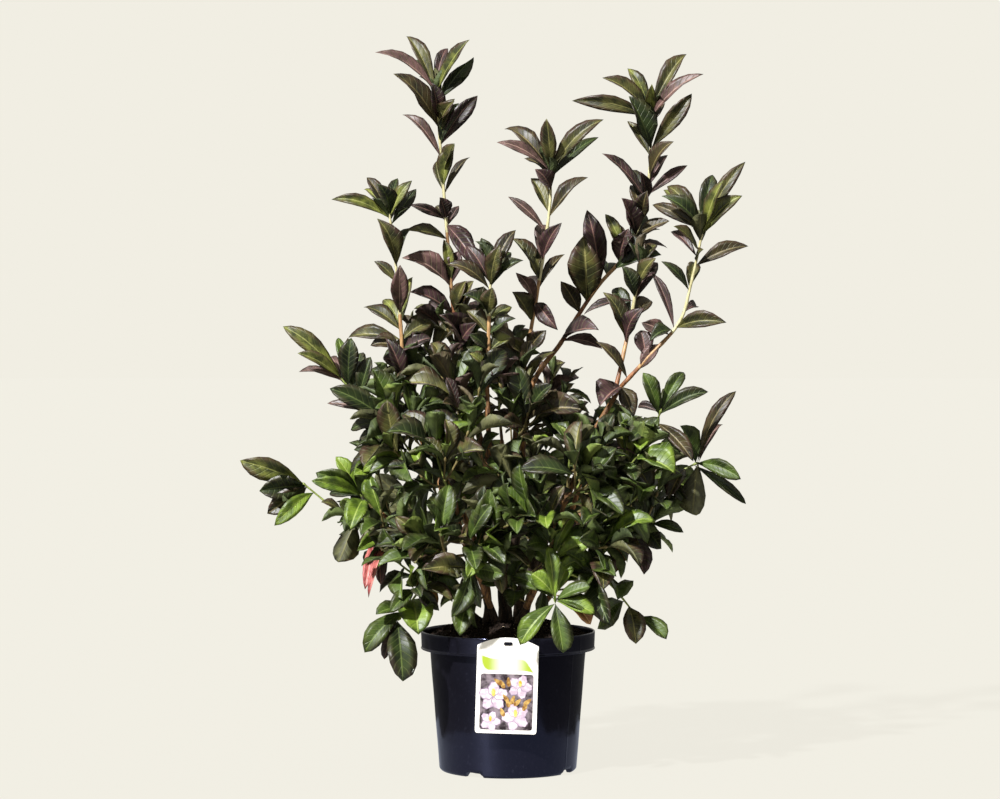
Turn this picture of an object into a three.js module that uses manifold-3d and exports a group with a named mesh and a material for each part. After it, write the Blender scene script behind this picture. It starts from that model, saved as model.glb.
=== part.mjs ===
// A young deciduous azalea, out of flower, in its round nursery pot with a hanging plant label.
// Millimetres, +Z up, front towards -Y. The origin is the middle of the pot's underside.
import * as THREE from "three";
import { mergeVertices } from "three/addons/utils/BufferGeometryUtils.js";
import Module from "manifold-3d";

const wasm = await Module();
wasm.setup();
const { Manifold, Mesh } = wasm;

// ---------------------------------------------------------------- driving dimensions

const GAP = 0.35; // clear space between two nodes

const POT_HEIGHT = 184;
const POT_RIM_RADIUS = 115;
const POT_RIM_HEIGHT = 24;
const POT_SHOULDER_RADIUS = 102.8; // outside of the wall, just under the rim
const POT_FOOT_RADIUS = 90.3; // outside of the wall, at the ground
const POT_WALL = 1.6;
const POT_FLOOR = 9; // inside floor above the ground
const POT_CHANNEL = 7; // height of the ring-shaped channel under the floor
const POT_SEGMENTS = 32;
const DRAIN_COUNT = 4;
const DRAIN_FIRST = 60; // degrees round from +X of the first one
const DRAIN_WIDTH = 24;
const DRAIN_HEIGHT = 6.4;

const SOIL_TOP = 195; // the flat top of the mound, where the stems come out
const SOIL_TOP_RADIUS = 48;
const SOIL_EDGE = 172; // where the mound meets the inside of the rim

const LABEL_WIDTH = 79;
const LABEL_SIDE = 113;
const LABEL_ARCH = 10.5;
const LABEL_CORNER = 4;
const LABEL_THICKNESS = 0.8;
const LABEL_LEAN = 0.03; // turned a little in its own plane, in radians
const PEG_WIDTH = 8;
const PEG_HEIGHT = 3.4;
const PEG_HEAD = 1.2; // thickness of its wider head
const PEG_Z = 178; // middle of the peg that the label hangs on
const LABEL_SHOULDER = 2.6; // the label's square shoulders below the peg
const LABEL_FACE = -POT_RIM_RADIUS - GAP; // the label's back, in front of the rim

const LIMB_SIDES = 6;
const LIMB_STEP = 48; // a limb has a ring of corners about this often
const TRUNK_SIDES = 9;
const FEWEST_RINGS = 4; // on a short limb
const FLARE_DECAY = 10; // how fast a stem's swollen foot dies away up its length
const TWIG_SIDES = 3;
const TWIG_RADIUS = 2.2; // where a mass's stem starts
const SIDE_TWIG_RADIUS = 1.7;
const TWIG_TIP_RADIUS = 1.2;
const SIDE_TWIG_LENGTH = 58;
const SIDE_TWIG_PLACE = 0.5; // where the first one leaves its stem, as a part of the stem's length
const SIDE_TWIG_ANGLE = 0.9; // between a side twig and its stem, in radians
const LEAF_THICKNESS = 0.02; // part of the leaf's length
const LEAF_FOLD = 0.5; // how far the two halves rise from the midrib
const LEAF_CURL = 0.16; // how far the tip bends back, part of the length
const LEAF_FULLNESS = 1.12; // the cornered outline is drawn this much wider, to cover what a curved one does
const GOLDEN_ANGLE = THREE.MathUtils.degToRad(137.5);

const COLOURS = {
  pot: 0x15161d,
  soil: 0x2b221c,
  label: 0xf1f1ec,
  oldBark: 0x463427,
  youngBark: 0x8a6238,
  bronzeLeaf: 0x4a4129,
  greenLeaf: 0x3d5a2a,
};

// The stems, each a line of points from its foot to its tip and its radius at both ends.
// One with no parent rises out of the soil, where it is cut level. The others leave their parent's side.
const LIMBS = {
  trunk: {
    points: [[-3, 0, 188], [-6, 2, 240], [-9, 3, 300]],
    radii: [8.6, 6.8],
    flare: 4.5,
    sides: TRUNK_SIDES,
  },
  leader_left: {
    parent: "trunk",
    points: [[-9, 3, 300], [-20, 8, 370], [-42, 15, 455], [-66, 20, 545]],
    radii: [6, 3.2],
  },
  leader_front: {
    parent: "trunk",
    points: [[-5, 1, 232], [-14, -22, 285], [-21, -46, 370], [-25, -62, 440], [-27, -68, 505]],
    radii: [5, 2.8],
  },
  leader_mid: {
    parent: "trunk",
    points: [[-7, 2, 262], [6, -8, 300], [10, -13, 360], [9, -12, 430], [15, -10, 495]],
    radii: [5.4, 3],
  },
  leader_right: {
    parent: "trunk",
    points: [[-7, 2, 250], [10, 18, 295], [15, 28, 350], [29, 50, 495], [72, 52, 565]],
    radii: [5.6, 3],
  },
  bough_right: {
    points: [
      [13, -16, 188],
      [17, -17, 238],
      [31, -15, 266],
      [63, -9, 330],
      [95, -3, 400],
      [110, 0, 440],
      [149, -4, 506],
    ],
    radii: [6, 3],
    flare: 2.5,
  },
  bough_far_right: {
    parent: "bough_right",
    points: [[24, -16, 252], [54, 0, 285], [95, 8, 335], [138, 8, 378], [168, 4, 410]],
    radii: [4.4, 2.7],
  },
  stem_left: {
    points: [
      [-28, -18, 188],
      [-27, -19, 236],
      [-42, -22, 300],
      [-80, -27, 380],
      [-118, -30, 445],
      [-135, -30, 494],
    ],
    radii: [4.8, 2.8],
    flare: 1.5,
  },
  stem_low_left: {
    points: [[-30, 4, 188], [-56, -4, 216], [-76, -12, 250], [-120, -22, 300], [-165, -28, 340]],
    radii: [4, 2.6],
    flare: 1.5,
  },
  stem_low_right: {
    points: [[30, -20, 188], [54, -26, 230], [100, -30, 275], [145, -30, 310]],
    radii: [4, 2.6],
    flare: 1.5,
  },
  stem_back_left: {
    points: [[-20, 18, 188], [-40, 50, 260], [-78, 88, 330], [-100, 108, 400]],
    radii: [4.8, 2.8],
    flare: 1.5,
  },
  stem_back_right: {
    points: [[18, 17, 188], [42, 56, 260], [84, 98, 330], [105, 116, 400]],
    radii: [4.8, 2.8],
    flare: 1.5,
  },
  stem_back: {
    points: [[-1, 28, 188], [-4, 70, 280], [-6, 108, 360], [-8, 125, 430]],
    radii: [4.8, 2.8],
    flare: 1.5,
  },
  stem_front_left: {
    points: [[-12, -30, 188], [-34, -60, 250], [-58, -90, 310], [-68, -102, 360]],
    radii: [4.4, 2.6],
    flare: 1.5,
  },
  stem_front_right: {
    points: [[9, -37, 188], [38, -66, 250], [62, -94, 310], [72, -104, 360]],
    radii: [4.4, 2.6],
    flare: 1.5,
  },
};

// How leaves stand on a mass's stem, unless the mass says otherwise. Some leaves are spaced along it, and a
// tuft of them crowds its last part. Angles are in degrees from the stem, lengths in millimetres.
const HABIT = {
  at: 1, // where it leaves its limb, as a part of the limb's length
  through: [], // points that its stem passes
  sag: 0.12, // how far a plain stem bows below the straight line to its tip, part of its length
  twigs: 1, // side twigs with a small tuft each
  spaced: 3, // leaves along the stem
  tuft: 6, // leaves in the tuft
  fallen: 1, // of the lowest leaves, how many are gone
  first: 0.35, // place of the lowest leaf
  tuftPart: 0.22, // part of the stem that the tuft takes
  low: 52, // angle of the spaced leaves
  wide: 62, // angle of the tuft's outer leaves
  tight: 22, // angle of its inner leaves
  droop: 0.12, // how far the spaced leaves hang
  length: 82, // of the longest leaf
  young: 0.75, // the lowest leaf's part of that length
  width: 0.36, // part of a leaf's own length
};

// What the tall shoots of this year have in common.
const TALL = { twigs: 0, fallen: 0, width: 0.31, droop: 0.15 };

// What the sprays that hang over the rim have in common.
const HANGING = { low: 105, wide: 100, tight: 60, sag: -0.25, droop: 0.8, width: 0.44 };

// The tall shoots, bronze towards the top, at the tips of the long stems.
const SHOOTS = {
  shoot_left: {
    ...TALL,
    limb: "stem_left",
    through: [[-140, -30, 580], [-145, -30, 650]],
    tip: [-155, -35, 735],
    spaced: 6,
    tuft: 7,
    first: 0.12,
    tuftPart: 0.13,
    low: 38,
    wide: 55,
    tight: 15,
    length: 86,
    young: 0.75,
    seed: 513,
  },
  shoot_tallest: {
    ...TALL,
    limb: "leader_left",
    through: [[-75, 20, 635], [-80, 20, 700], [-85, 20, 765], [-90, 20, 830]],
    tip: [-95, 15, 895],
    spaced: 8,
    tuft: 9,
    first: 0.22,
    tuftPart: 0.12,
    low: 38,
    wide: 52,
    tight: 18,
    length: 100,
    young: 0.7,
    seed: 741,
  },
  shoot_short: {
    ...TALL,
    limb: "leader_front",
    through: [[-25, -70, 585], [-25, -70, 620]],
    tip: [-20, -70, 655],
    spaced: 5,
    tuft: 7,
    first: 0.05,
    tuftPart: 0.22,
    low: 42,
    wide: 50,
    tight: 15,
    length: 88,
    young: 0.9,
    seed: 292,
  },
  shoot_middle: {
    ...TALL,
    limb: "leader_mid",
    through: [[30, -15, 580], [45, -15, 670], [55, -20, 745]],
    tip: [55, -20, 790],
    spaced: 9,
    tuft: 8,
    first: 0.12,
    tuftPart: 0.1,
    low: 40,
    wide: 58,
    tight: 15,
    length: 94,
    young: 0.78,
    seed: 944,
  },
  shoot_bronze: {
    ...TALL,
    limb: "leader_right",
    through: [[125, 55, 620], [165, 55, 665], [180, 60, 720], [190, 60, 795]],
    tip: [190, 60, 870],
    spaced: 16,
    tuft: 9,
    first: 0.14,
    tuftPart: 0.11,
    low: 44,
    wide: 62,
    tight: 20,
    length: 96,
    young: 0.85,
    seed: 458,
  },
  shoot_right: {
    ...TALL,
    limb: "bough_right",
    through: [[185, -10, 545], [225, -10, 590], [240, -15, 640]],
    tip: [255, -20, 710],
    spaced: 8,
    tuft: 7,
    first: 0.12,
    tuftPart: 0.12,
    low: 50,
    wide: 48,
    tight: 18,
    length: 92,
    young: 0.85,
    seed: 422,
  },
  shoot_right_low: {
    ...TALL,
    limb: "bough_right",
    at: 0.96,
    through: [[160, 25, 580], [170, 25, 635]],
    tip: [175, 30, 670],
    spaced: 7,
    tuft: 6,
    first: 0.04,
    tuftPart: 0.15,
    low: 42,
    wide: 45,
    tight: 15,
    length: 86,
    young: 0.9,
    seed: 420,
  },
};

// The green sprays below them: each leaves its limb at a part of the limb's length and ends at its tip.
const SPRAYS = {
  spray_left_high: { limb: "stem_left", at: 0.8, tip: [-240, 0, 540], length: 90, seed: 144 },
  spray_left_mid: { limb: "stem_left", at: 0.62, tip: [-155, -70, 465], seed: 944 },
  spray_left_out: { limb: "stem_low_left", tip: [-215, -40, 400], seed: 615 },
  spray_left_far: { limb: "stem_low_left", at: 0.86, tip: [-290, -10, 385], twigs: 0, length: 90, seed: 27 },
  spray_left_low: { limb: "stem_low_left", at: 0.7, tip: [-205, -50, 330], seed: 113 },
  spray_left_foot: { limb: "stem_low_left", at: 0.55, tip: [-152, -95, 285], seed: 589 },
  spray_left_hang: { ...HANGING, limb: "stem_low_left", at: 0.42, tip: [-143, -82, 204], twigs: 0, seed: 726 },
  spray_left_back: { limb: "stem_back_left", at: 0.55, tip: [-165, 110, 325], twigs: 0, seed: 28 },
  spray_right_high: { limb: "bough_far_right", tip: [200, -50, 485], seed: 750 },
  spray_right_out: { limb: "bough_far_right", at: 0.8, tip: [255, 0, 415], length: 90, seed: 21 },
  spray_right_mid: { limb: "bough_right", at: 0.5, tip: [170, -75, 420], seed: 346 },
  spray_right_back: { limb: "stem_back_right", at: 0.6, tip: [215, 100, 390], seed: 234 },
  spray_right_low: { limb: "stem_low_right", tip: [195, -10, 330], seed: 146 },
  spray_right_foot: { limb: "stem_low_right", at: 0.75, tip: [125, -92, 298], seed: 118 },
  spray_right_hang: { ...HANGING, limb: "stem_low_right", at: 0.5, tip: [168, -62, 208], twigs: 0, seed: 103 },
  spray_front_hang: { ...HANGING, limb: "stem_front_right", at: 0.55, tip: [60, -140, 232], seed: 230 },
  spray_front_right: { limb: "stem_front_right", tip: [100, -120, 400], seed: 543 },
  spray_front_mid: { limb: "stem_front_right", at: 0.8, tip: [25, -135, 345], seed: 472 },
  spray_front_left: { limb: "stem_front_left", tip: [-95, -115, 430], seed: 107 },
  spray_front_low: { limb: "stem_front_left", at: 0.7, tip: [-35, -130, 305], seed: 31 },
  spray_front_side: { limb: "stem_front_left", at: 0.55, tip: [-105, -110, 305], seed: 603 },
  spray_front_out: { limb: "stem_front_right", at: 0.7, tip: [120, -110, 330], seed: 113 },
  spray_mid_left: { limb: "leader_front", at: 0.62, tip: [-75, -60, 515], twigs: 0, seed: 353 },
  spray_mid_right: { limb: "leader_mid", at: 0.62, tip: [20, -50, 525], twigs: 0, seed: 78 },
  spray_high_left: { limb: "leader_left", at: 0.72, tip: [-115, 10, 580], twigs: 0, seed: 545 },
  spray_high_mid: { limb: "leader_left", at: 0.9, tip: [-55, 25, 600], seed: 483 },
  spray_high_right: { limb: "bough_right", at: 0.57, tip: [82, -40, 448], seed: 110 },
  spray_high_back: { limb: "leader_right", at: 0.5, tip: [60, 90, 525], twigs: 0, seed: 103 },
  spray_back_top: { limb: "stem_back", tip: [-15, 145, 540], twigs: 0, seed: 349 },
  spray_back_left: { limb: "stem_back_left", tip: [-130, 120, 500], seed: 433 },
  spray_back_right: { limb: "stem_back_right", tip: [140, 140, 465], seed: 247 },
  spray_back_mid: { limb: "stem_back", at: 0.7, tip: [-50, 185, 375], twigs: 0, seed: 921 },
  spray_back_low: { limb: "stem_back", at: 0.5, tip: [50, 175, 330], twigs: 0, seed: 587 },
  spray_back_side: { limb: "stem_back_right", at: 0.75, tip: [125, 155, 345], twigs: 0, seed: 4 },
};

// ---------------------------------------------------------------- curves and chance

// A repeatable number from 0 to 1 for a leaf, worked out from its mass's seed and its own count.
function chance(seed, count, use) {
  const x = Math.sin(seed * 12.9898 + count * 78.233 + use * 37.719) * 43758.5453;
  return x - Math.floor(x);
}

const vector = ([x, y, z]) => new THREE.Vector3(x, y, z);
const pathThrough = (points) => new THREE.CatmullRomCurve3(points.map(vector), false, "catmullrom", 0.5);

// The direction of a path near t, and two directions across it.
const FRAME_REFERENCE = new THREE.Vector3(0.12, 0.98, 0.1);
function frameAt(path, t) {
  const middle = THREE.MathUtils.clamp(t, 0.01, 0.99);
  const along = path.getPoint(middle + 0.01).sub(path.getPoint(middle - 0.01)).normalize();
  const across = along.clone().cross(FRAME_REFERENCE).normalize();
  const over = along.clone().cross(across);
  return { along, across, over };
}

// The unit direction that stands off a path's own direction by an angle, turned round it to an azimuth.
function standOff({ along, across, over }, angle, azimuth) {
  return along
    .clone()
    .multiplyScalar(Math.cos(angle))
    .addScaledVector(across, Math.sin(angle) * Math.cos(azimuth))
    .addScaledVector(over, Math.sin(angle) * Math.sin(azimuth));
}

// ---------------------------------------------------------------- solids

// A three.js geometry as a manifold solid.
function solidOf(geometry) {
  const bare = geometry.clone();
  bare.deleteAttribute("normal");
  bare.deleteAttribute("uv");
  const merged = mergeVertices(bare, 1e-5);
  return new Manifold(
    new Mesh({
      numProp: 3,
      vertProperties: new Float32Array(merged.attributes.position.array),
      triVerts: new Uint32Array(merged.index.array),
    }),
  );
}

// A manifold solid back as a three.js geometry.
function geometryOf(solid) {
  const { vertProperties, triVerts } = solid.getMesh();
  const geometry = new THREE.BufferGeometry();
  geometry.setAttribute("position", new THREE.BufferAttribute(vertProperties, 3));
  geometry.setIndex(new THREE.BufferAttribute(triVerts, 1));
  geometry.computeVertexNormals();
  return geometry;
}

// A cylinder bent along a path. radiusAt gives its radius for a place along the path, and grow swells it
// all over, for cutting a neighbour clear of it.
function taper(path, radiusAt, sides, steps, grow = 0) {
  const geometry = new THREE.CylinderGeometry(1, 1, 1, sides, steps).toNonIndexed();
  const position = geometry.attributes.position;
  const vertex = new THREE.Vector3();
  for (let i = 0; i < position.count; i++) {
    vertex.fromBufferAttribute(position, i);
    const t = vertex.y + 0.5;
    const { along, across, over } = frameAt(path, t);
    const radius = radiusAt(t) + grow;
    const place = path.getPoint(t);
    place.addScaledVector(across, vertex.x * radius).addScaledVector(over, -vertex.z * radius);
    if (grow > 0 && (t < 1e-6 || t > 1 - 1e-6)) place.addScaledVector(along, t < 0.5 ? -grow : grow);
    position.setXYZ(i, place.x, place.y, place.z);
  }
  return solidOf(geometry);
}

// Half of a leaf's width at a part s of its length, as a part of its greatest half width.
const FULLEST = 0.5625; // where the blade is widest
const bulge = (s) => s ** 0.9 * (1 - s) ** 0.7;
const halfWidth = (s) => bulge(s) / bulge(FULLEST);

// A leaf: a pointed blade folded along its midrib, its tip bent back, twelve faces in all.
const LEAF_SHOULDERS = [0.36, 0.7]; // the two places along it where each edge has a corner
function leafSolid({ root, direction, face, length, width }) {
  const side = direction.clone().cross(face);
  const rib = (s, lift = 0) =>
    root
      .clone()
      .addScaledVector(direction, length * s)
      .addScaledVector(face, length * (lift - LEAF_CURL * s * s));
  const edge = (s, sign) => {
    const out = (length * width * LEAF_FULLNESS * halfWidth(s)) / 2;
    return rib(s).addScaledVector(side, sign * out).addScaledVector(face, out * LEAF_FOLD);
  };
  const [near, far] = LEAF_SHOULDERS;
  const outline = [rib(0), edge(near, 1), edge(far, 1), rib(1), edge(far, -1), edge(near, -1)];
  const corners = [...outline, rib(FULLEST, LEAF_THICKNESS / 2), rib(FULLEST, -LEAF_THICKNESS / 2)];
  const faces = outline.flatMap((_, i) => {
    const next = (i + 1) % outline.length;
    return [outline.length, i, next, outline.length + 1, next, i];
  });
  const geometry = new THREE.BufferGeometry().setFromPoints(corners);
  geometry.setIndex(faces);
  return solidOf(geometry);
}

// ---------------------------------------------------------------- what is already in place

// Every solid placed so far, with its node, so that a leaf that would touch another node's is left out.
const placed = [];

function place(node, solid) {
  placed.push({ node, solid, box: solid.boundingBox() });
  return solid;
}

const boxesMeet = (a, b) => [0, 1, 2].every((i) => a.min[i] - GAP < b.max[i] && b.min[i] - GAP < a.max[i]);

function isFree(node, solid) {
  const box = solid.boundingBox();
  return placed.every(
    (other) =>
      other.node === node || !boxesMeet(box, other.box) || solid.minGap(other.solid, 2 * GAP) >= GAP,
  );
}

// The biggest piece of a solid that a cut may have parted.
function mainPiece(solid) {
  return solid.decompose().reduce((a, b) => (a.volume() > b.volume() ? a : b));
}

const plant = new THREE.Group();

function addNode(name, solid, colour, roughness) {
  const material = new THREE.MeshStandardMaterial({ color: colour, roughness, metalness: 0 });
  const mesh = new THREE.Mesh(geometryOf(solid), material);
  mesh.name = name;
  plant.add(mesh);
}

// ---------------------------------------------------------------- pot

// A closed profile of [radius, height] pairs turned round the upright axis.
function turned(profile) {
  const geometry = new THREE.LatheGeometry(
    profile.map(([radius, height]) => new THREE.Vector2(radius, height)),
    POT_SEGMENTS,
  );
  geometry.rotateX(Math.PI / 2);
  return solidOf(geometry);
}

function box(width, depth, height, x, y, z) {
  return solidOf(new THREE.BoxGeometry(width, depth, height).translate(x, y, z));
}

const POT_RIM_FOOT = POT_HEIGHT - POT_RIM_HEIGHT;
const wallRadius = (z) => POT_FOOT_RADIUS + ((POT_SHOULDER_RADIUS - POT_FOOT_RADIUS) * z) / POT_RIM_FOOT;
const innerRadius = (z) => wallRadius(z) - POT_WALL;

// The pot: a blow-moulded tub with a stepped rim, a round middle foot and a foot ring with drain notches.
function pot() {
  const middleFoot = 58;
  const ringInside = 81;
  const bead = 1.2; // the rounding of the rim's and the foot's edges
  const rimInside = POT_RIM_RADIUS - POT_WALL - 0.6;
  const shell = turned([
    [0, 0],
    [middleFoot, 0],
    [middleFoot + 2, POT_CHANNEL],
    [ringInside, POT_CHANNEL],
    [ringInside + 1, 0],
    [POT_FOOT_RADIUS - 2.5, 0],
    [wallRadius(2.5), 2.5],
    [wallRadius(POT_RIM_FOOT), POT_RIM_FOOT],
    [POT_RIM_RADIUS - 1, POT_RIM_FOOT],
    [POT_RIM_RADIUS, POT_HEIGHT - bead],
    [POT_RIM_RADIUS - bead, POT_HEIGHT],
    [rimInside, POT_HEIGHT],
    [rimInside - 1, POT_RIM_FOOT + POT_WALL],
    [innerRadius(POT_RIM_FOOT), POT_RIM_FOOT - bead],
    [innerRadius(POT_FLOOR), POT_FLOOR],
    [0, POT_FLOOR],
  ]);
  const notchDepth = 26;
  const notches = Array.from({ length: DRAIN_COUNT }, (_, i) =>
    box(notchDepth, DRAIN_WIDTH, 2 * DRAIN_HEIGHT, POT_FOOT_RADIUS, 0, 0).rotate([
      0,
      0,
      DRAIN_FIRST + (i * 360) / DRAIN_COUNT,
    ]),
  );
  // The peg that the label hangs on runs through its slot and ends in a wider head.
  const front = LABEL_FACE - LABEL_THICKNESS - GAP - PEG_HEAD / 2;
  const back = -POT_RIM_RADIUS + POT_WALL;
  const peg = box(PEG_WIDTH, back - front, PEG_HEIGHT, 0, (back + front) / 2, PEG_Z);
  const head = box(PEG_WIDTH + 3, PEG_HEAD, PEG_HEIGHT, 0, front, PEG_Z);
  return Manifold.union([shell.subtract(Manifold.union(notches)), peg, head]);
}

// The potting soil: it fills the pot and rises to a low mound, level where the stems come out.
function soil() {
  const clear = GAP / Math.cos(Math.PI / POT_SEGMENTS);
  return turned([
    [0, POT_FLOOR + GAP],
    [innerRadius(POT_FLOOR) - clear, POT_FLOOR + GAP],
    [innerRadius(POT_RIM_FOOT) - clear, POT_RIM_FOOT - 1],
    [POT_RIM_RADIUS - 3.6, POT_RIM_FOOT + 3],
    [POT_RIM_RADIUS - 3.4, SOIL_EDGE],
    [(SOIL_TOP_RADIUS + POT_RIM_RADIUS) / 2, (SOIL_EDGE + 2 * SOIL_TOP) / 3],
    [SOIL_TOP_RADIUS, SOIL_TOP],
    [0, SOIL_TOP],
  ]);
}

// The plant label: a plastic tag with an arched top and a slot, hung flat against the front of the rim.
function label() {
  const half = LABEL_WIDTH / 2;
  const top = -LABEL_SHOULDER;
  const bottom = top - LABEL_SIDE;
  const corner = LABEL_CORNER;
  const shape = new THREE.Shape();
  shape.moveTo(-half + corner, bottom);
  shape.lineTo(half - corner, bottom);
  shape.absarc(half - corner, bottom + corner, corner, -Math.PI / 2, 0);
  shape.lineTo(half, top);
  shape.quadraticCurveTo(half / 2, top + LABEL_ARCH, 0, top + LABEL_ARCH);
  shape.quadraticCurveTo(-half / 2, top + LABEL_ARCH, -half, top);
  shape.lineTo(-half, bottom + corner);
  shape.absarc(-half + corner, bottom + corner, corner, Math.PI, 1.5 * Math.PI);
  const tag = new THREE.ExtrudeGeometry(shape, { depth: LABEL_THICKNESS, bevelEnabled: false, curveSegments: 4 });
  tag.rotateX(Math.PI / 2).rotateY(LABEL_LEAN).translate(0, LABEL_FACE, PEG_Z);
  const slot = box(PEG_WIDTH + 1, 6, PEG_HEIGHT + 1, 0, LABEL_FACE, PEG_Z);
  return solidOf(tag).subtract(slot);
}

// ---------------------------------------------------------------- stems and boughs

const limbs = {};

function growLimb(name, { parent, points, radii, flare = 0, sides = LIMB_SIDES }) {
  const path = pathThrough(points);
  const [foot, tip] = radii;
  const radiusAt = (t) => foot + (tip - foot) * t + flare * Math.exp(-FLARE_DECAY * t);
  const steps = Math.max(FEWEST_RINGS, Math.round(path.getLength() / LIMB_STEP));
  let solid = taper(path, radiusAt, sides, steps);
  const swollen = taper(path, radiusAt, sides, steps, GAP);
  if (parent) solid = mainPiece(solid.subtract(limbs[parent].swollen));
  else solid = solid.trimByPlane([0, 0, 1], SOIL_TOP + GAP);
  limbs[name] = { path, swollen };
  return place(name, solid);
}

// ---------------------------------------------------------------- masses of leaves

const firstAzimuth = (seed) => 2 * Math.PI * chance(seed, 0, 7);
const handed = (seed) => (chance(seed, 0, 8) < 0.5 ? 1 : -1);
const radians = THREE.MathUtils.degToRad;

// A mass's stem, and how leaves stand on it.
function stemOf({ limb, at, through, tip, sag, ...habit }) {
  const foot = limbs[limb].path.getPoint(at);
  const end = vector(tip);
  const bow = foot.clone().lerp(end, 0.5);
  bow.z -= sag * foot.distanceTo(end);
  const middle = through.length ? through.map(vector) : [bow];
  return {
    ...habit,
    path: new THREE.CatmullRomCurve3([foot, ...middle, end], false, "catmullrom", 0.5),
    radius: TWIG_RADIUS,
    steps: 4 + through.length,
  };
}

// Side twig number i of a stem, with a small tuft of its own.
function sideTwigOf(stem, i) {
  const { path, seed } = stem;
  const t = SIDE_TWIG_PLACE + 0.2 * i;
  const root = path.getPoint(t);
  const azimuth = firstAzimuth(seed) + Math.PI / 2 + handed(seed) * GOLDEN_ANGLE * (i + 1);
  const direction = standOff(frameAt(path, t), SIDE_TWIG_ANGLE, azimuth);
  const length = SIDE_TWIG_LENGTH * (0.85 + 0.3 * chance(seed, i, 9));
  const elbow = root.clone().addScaledVector(direction, length / 2);
  const top = root.clone().addScaledVector(direction, length);
  top.z += length / 4;
  return {
    ...stem,
    path: new THREE.CatmullRomCurve3([root, elbow, top], false, "catmullrom", 0.5),
    radius: SIDE_TWIG_RADIUS,
    steps: 2,
    seed: seed + 1000 * (i + 1),
    spaced: 1,
    tuft: 4,
    first: 0.5,
    tuftPart: 0.3,
    length: 0.9 * stem.length,
  };
}

const twigSolid = ({ path, radius, steps }) =>
  taper(path, (t) => radius + (TWIG_TIP_RADIUS - radius) * t, TWIG_SIDES, steps);

// Where leaf number i of a twig stands, which way it points and faces, and how long it is. It is swung
// round the twig by turn degrees and drawn in to a part reach of its length.
function leafOf(twig, i, { turn, reach }) {
  const { path, seed, spaced, tuft, first, tuftPart, droop } = twig;
  const inTuft = i >= spaced;
  const low = Math.min(i / spaced, 1);
  const inner = Math.max(i - spaced, 0) / (tuft - 1);
  const t = inTuft ? 1 - tuftPart * (1 - inner) : first + (1 - tuftPart - first) * low;
  const frame = frameAt(path, t);
  const swing = radians(turn + 40 * (chance(seed, i, 1) - 0.5));
  const azimuth = firstAzimuth(seed) + handed(seed) * GOLDEN_ANGLE * i + swing;
  const angle = inTuft ? twig.wide + (twig.tight - twig.wide) * inner : twig.low;
  const direction = standOff(frame, radians(angle + 22 * (chance(seed, i, 2) - 0.5)), azimuth);
  direction.z -= droop * (inTuft ? 0.5 * (1 - inner) : 1);
  direction.normalize();
  const upward = frame.along.clone().add(new THREE.Vector3(0, 0, 0.6));
  const face = upward.addScaledVector(direction, -upward.dot(direction)).normalize();
  face.applyAxisAngle(direction, 1.3 * (chance(seed, i, 4) - 0.5));
  const grown = inTuft ? 1 - 0.38 * inner ** 2 : twig.young + (0.92 - twig.young) * low;
  const length = reach * twig.length * grown * (0.88 + 0.24 * chance(seed, i, 3));
  return { root: path.getPoint(t), direction, face, length, width: twig.width };
}

// A leaf that would touch another mass or a limb is drawn in a little, or swung round its twig. One that
// still finds no room is left out.
const TRIES = [
  { turn: 0, reach: 1 },
  { turn: 0, reach: 0.85 },
  { turn: 22, reach: 0.95 },
  { turn: -22, reach: 0.95 },
];

// ---------------------------------------------------------------- the whole plant, put together

addNode("pot", place("pot", pot()), COLOURS.pot, 0.25);
addNode("soil", place("soil", soil()), COLOURS.soil, 0.95);
addNode("plant_label", place("plant_label", label()), COLOURS.label, 0.4);

for (const [name, limb] of Object.entries(LIMBS)) {
  const colour = name === "trunk" ? COLOURS.oldBark : COLOURS.youngBark;
  addNode(name, growLimb(name, limb), colour, 0.8);
}

// Every mass's twigs come first, so that no leaf stands in the way of another mass's twig.
const masses = Object.entries({ ...SHOOTS, ...SPRAYS }).map(([name, own]) => {
  const habit = { ...HABIT, ...own };
  const stem = stemOf(habit);
  const clear = mainPiece(twigSolid(stem).subtract(limbs[habit.limb].swollen));
  return { name, stem, twigs: [stem], pieces: [place(name, clear)] };
});
for (const { name, stem, twigs, pieces } of masses) {
  for (let i = 0; i < stem.twigs; i++) {
    const twig = sideTwigOf(stem, i);
    const solid = twigSolid(twig);
    if (!isFree(name, solid)) continue;
    twigs.push(twig);
    pieces.push(place(name, solid));
  }
}
for (const { name, twigs, pieces } of masses) {
  for (const twig of twigs) {
    for (let i = twig.fallen; i < twig.spaced + twig.tuft; i++) {
      const leaf = TRIES.map((change) => leafSolid(leafOf(twig, i, change))).find((solid) => isFree(name, solid));
      if (leaf) pieces.push(place(name, leaf));
    }
  }
  const colour = name in SHOOTS ? COLOURS.bronzeLeaf : COLOURS.greenLeaf;
  addNode(name, mainPiece(Manifold.union(pieces)), colour, 0.5);
}

export default plant;
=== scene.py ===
import bpy
import numpy as np
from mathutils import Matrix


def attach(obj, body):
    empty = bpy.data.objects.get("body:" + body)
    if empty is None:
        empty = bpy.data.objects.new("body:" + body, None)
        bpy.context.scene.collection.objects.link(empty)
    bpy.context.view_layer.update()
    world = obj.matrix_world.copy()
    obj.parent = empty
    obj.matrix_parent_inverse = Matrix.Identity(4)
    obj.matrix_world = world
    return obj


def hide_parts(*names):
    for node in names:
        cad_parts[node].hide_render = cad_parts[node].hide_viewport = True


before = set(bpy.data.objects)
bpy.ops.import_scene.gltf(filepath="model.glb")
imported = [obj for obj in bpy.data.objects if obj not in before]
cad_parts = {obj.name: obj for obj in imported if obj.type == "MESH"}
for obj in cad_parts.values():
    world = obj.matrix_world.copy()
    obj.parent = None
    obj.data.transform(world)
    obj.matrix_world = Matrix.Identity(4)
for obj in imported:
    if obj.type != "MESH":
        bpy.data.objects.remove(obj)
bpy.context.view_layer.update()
MM = 0.001

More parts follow.
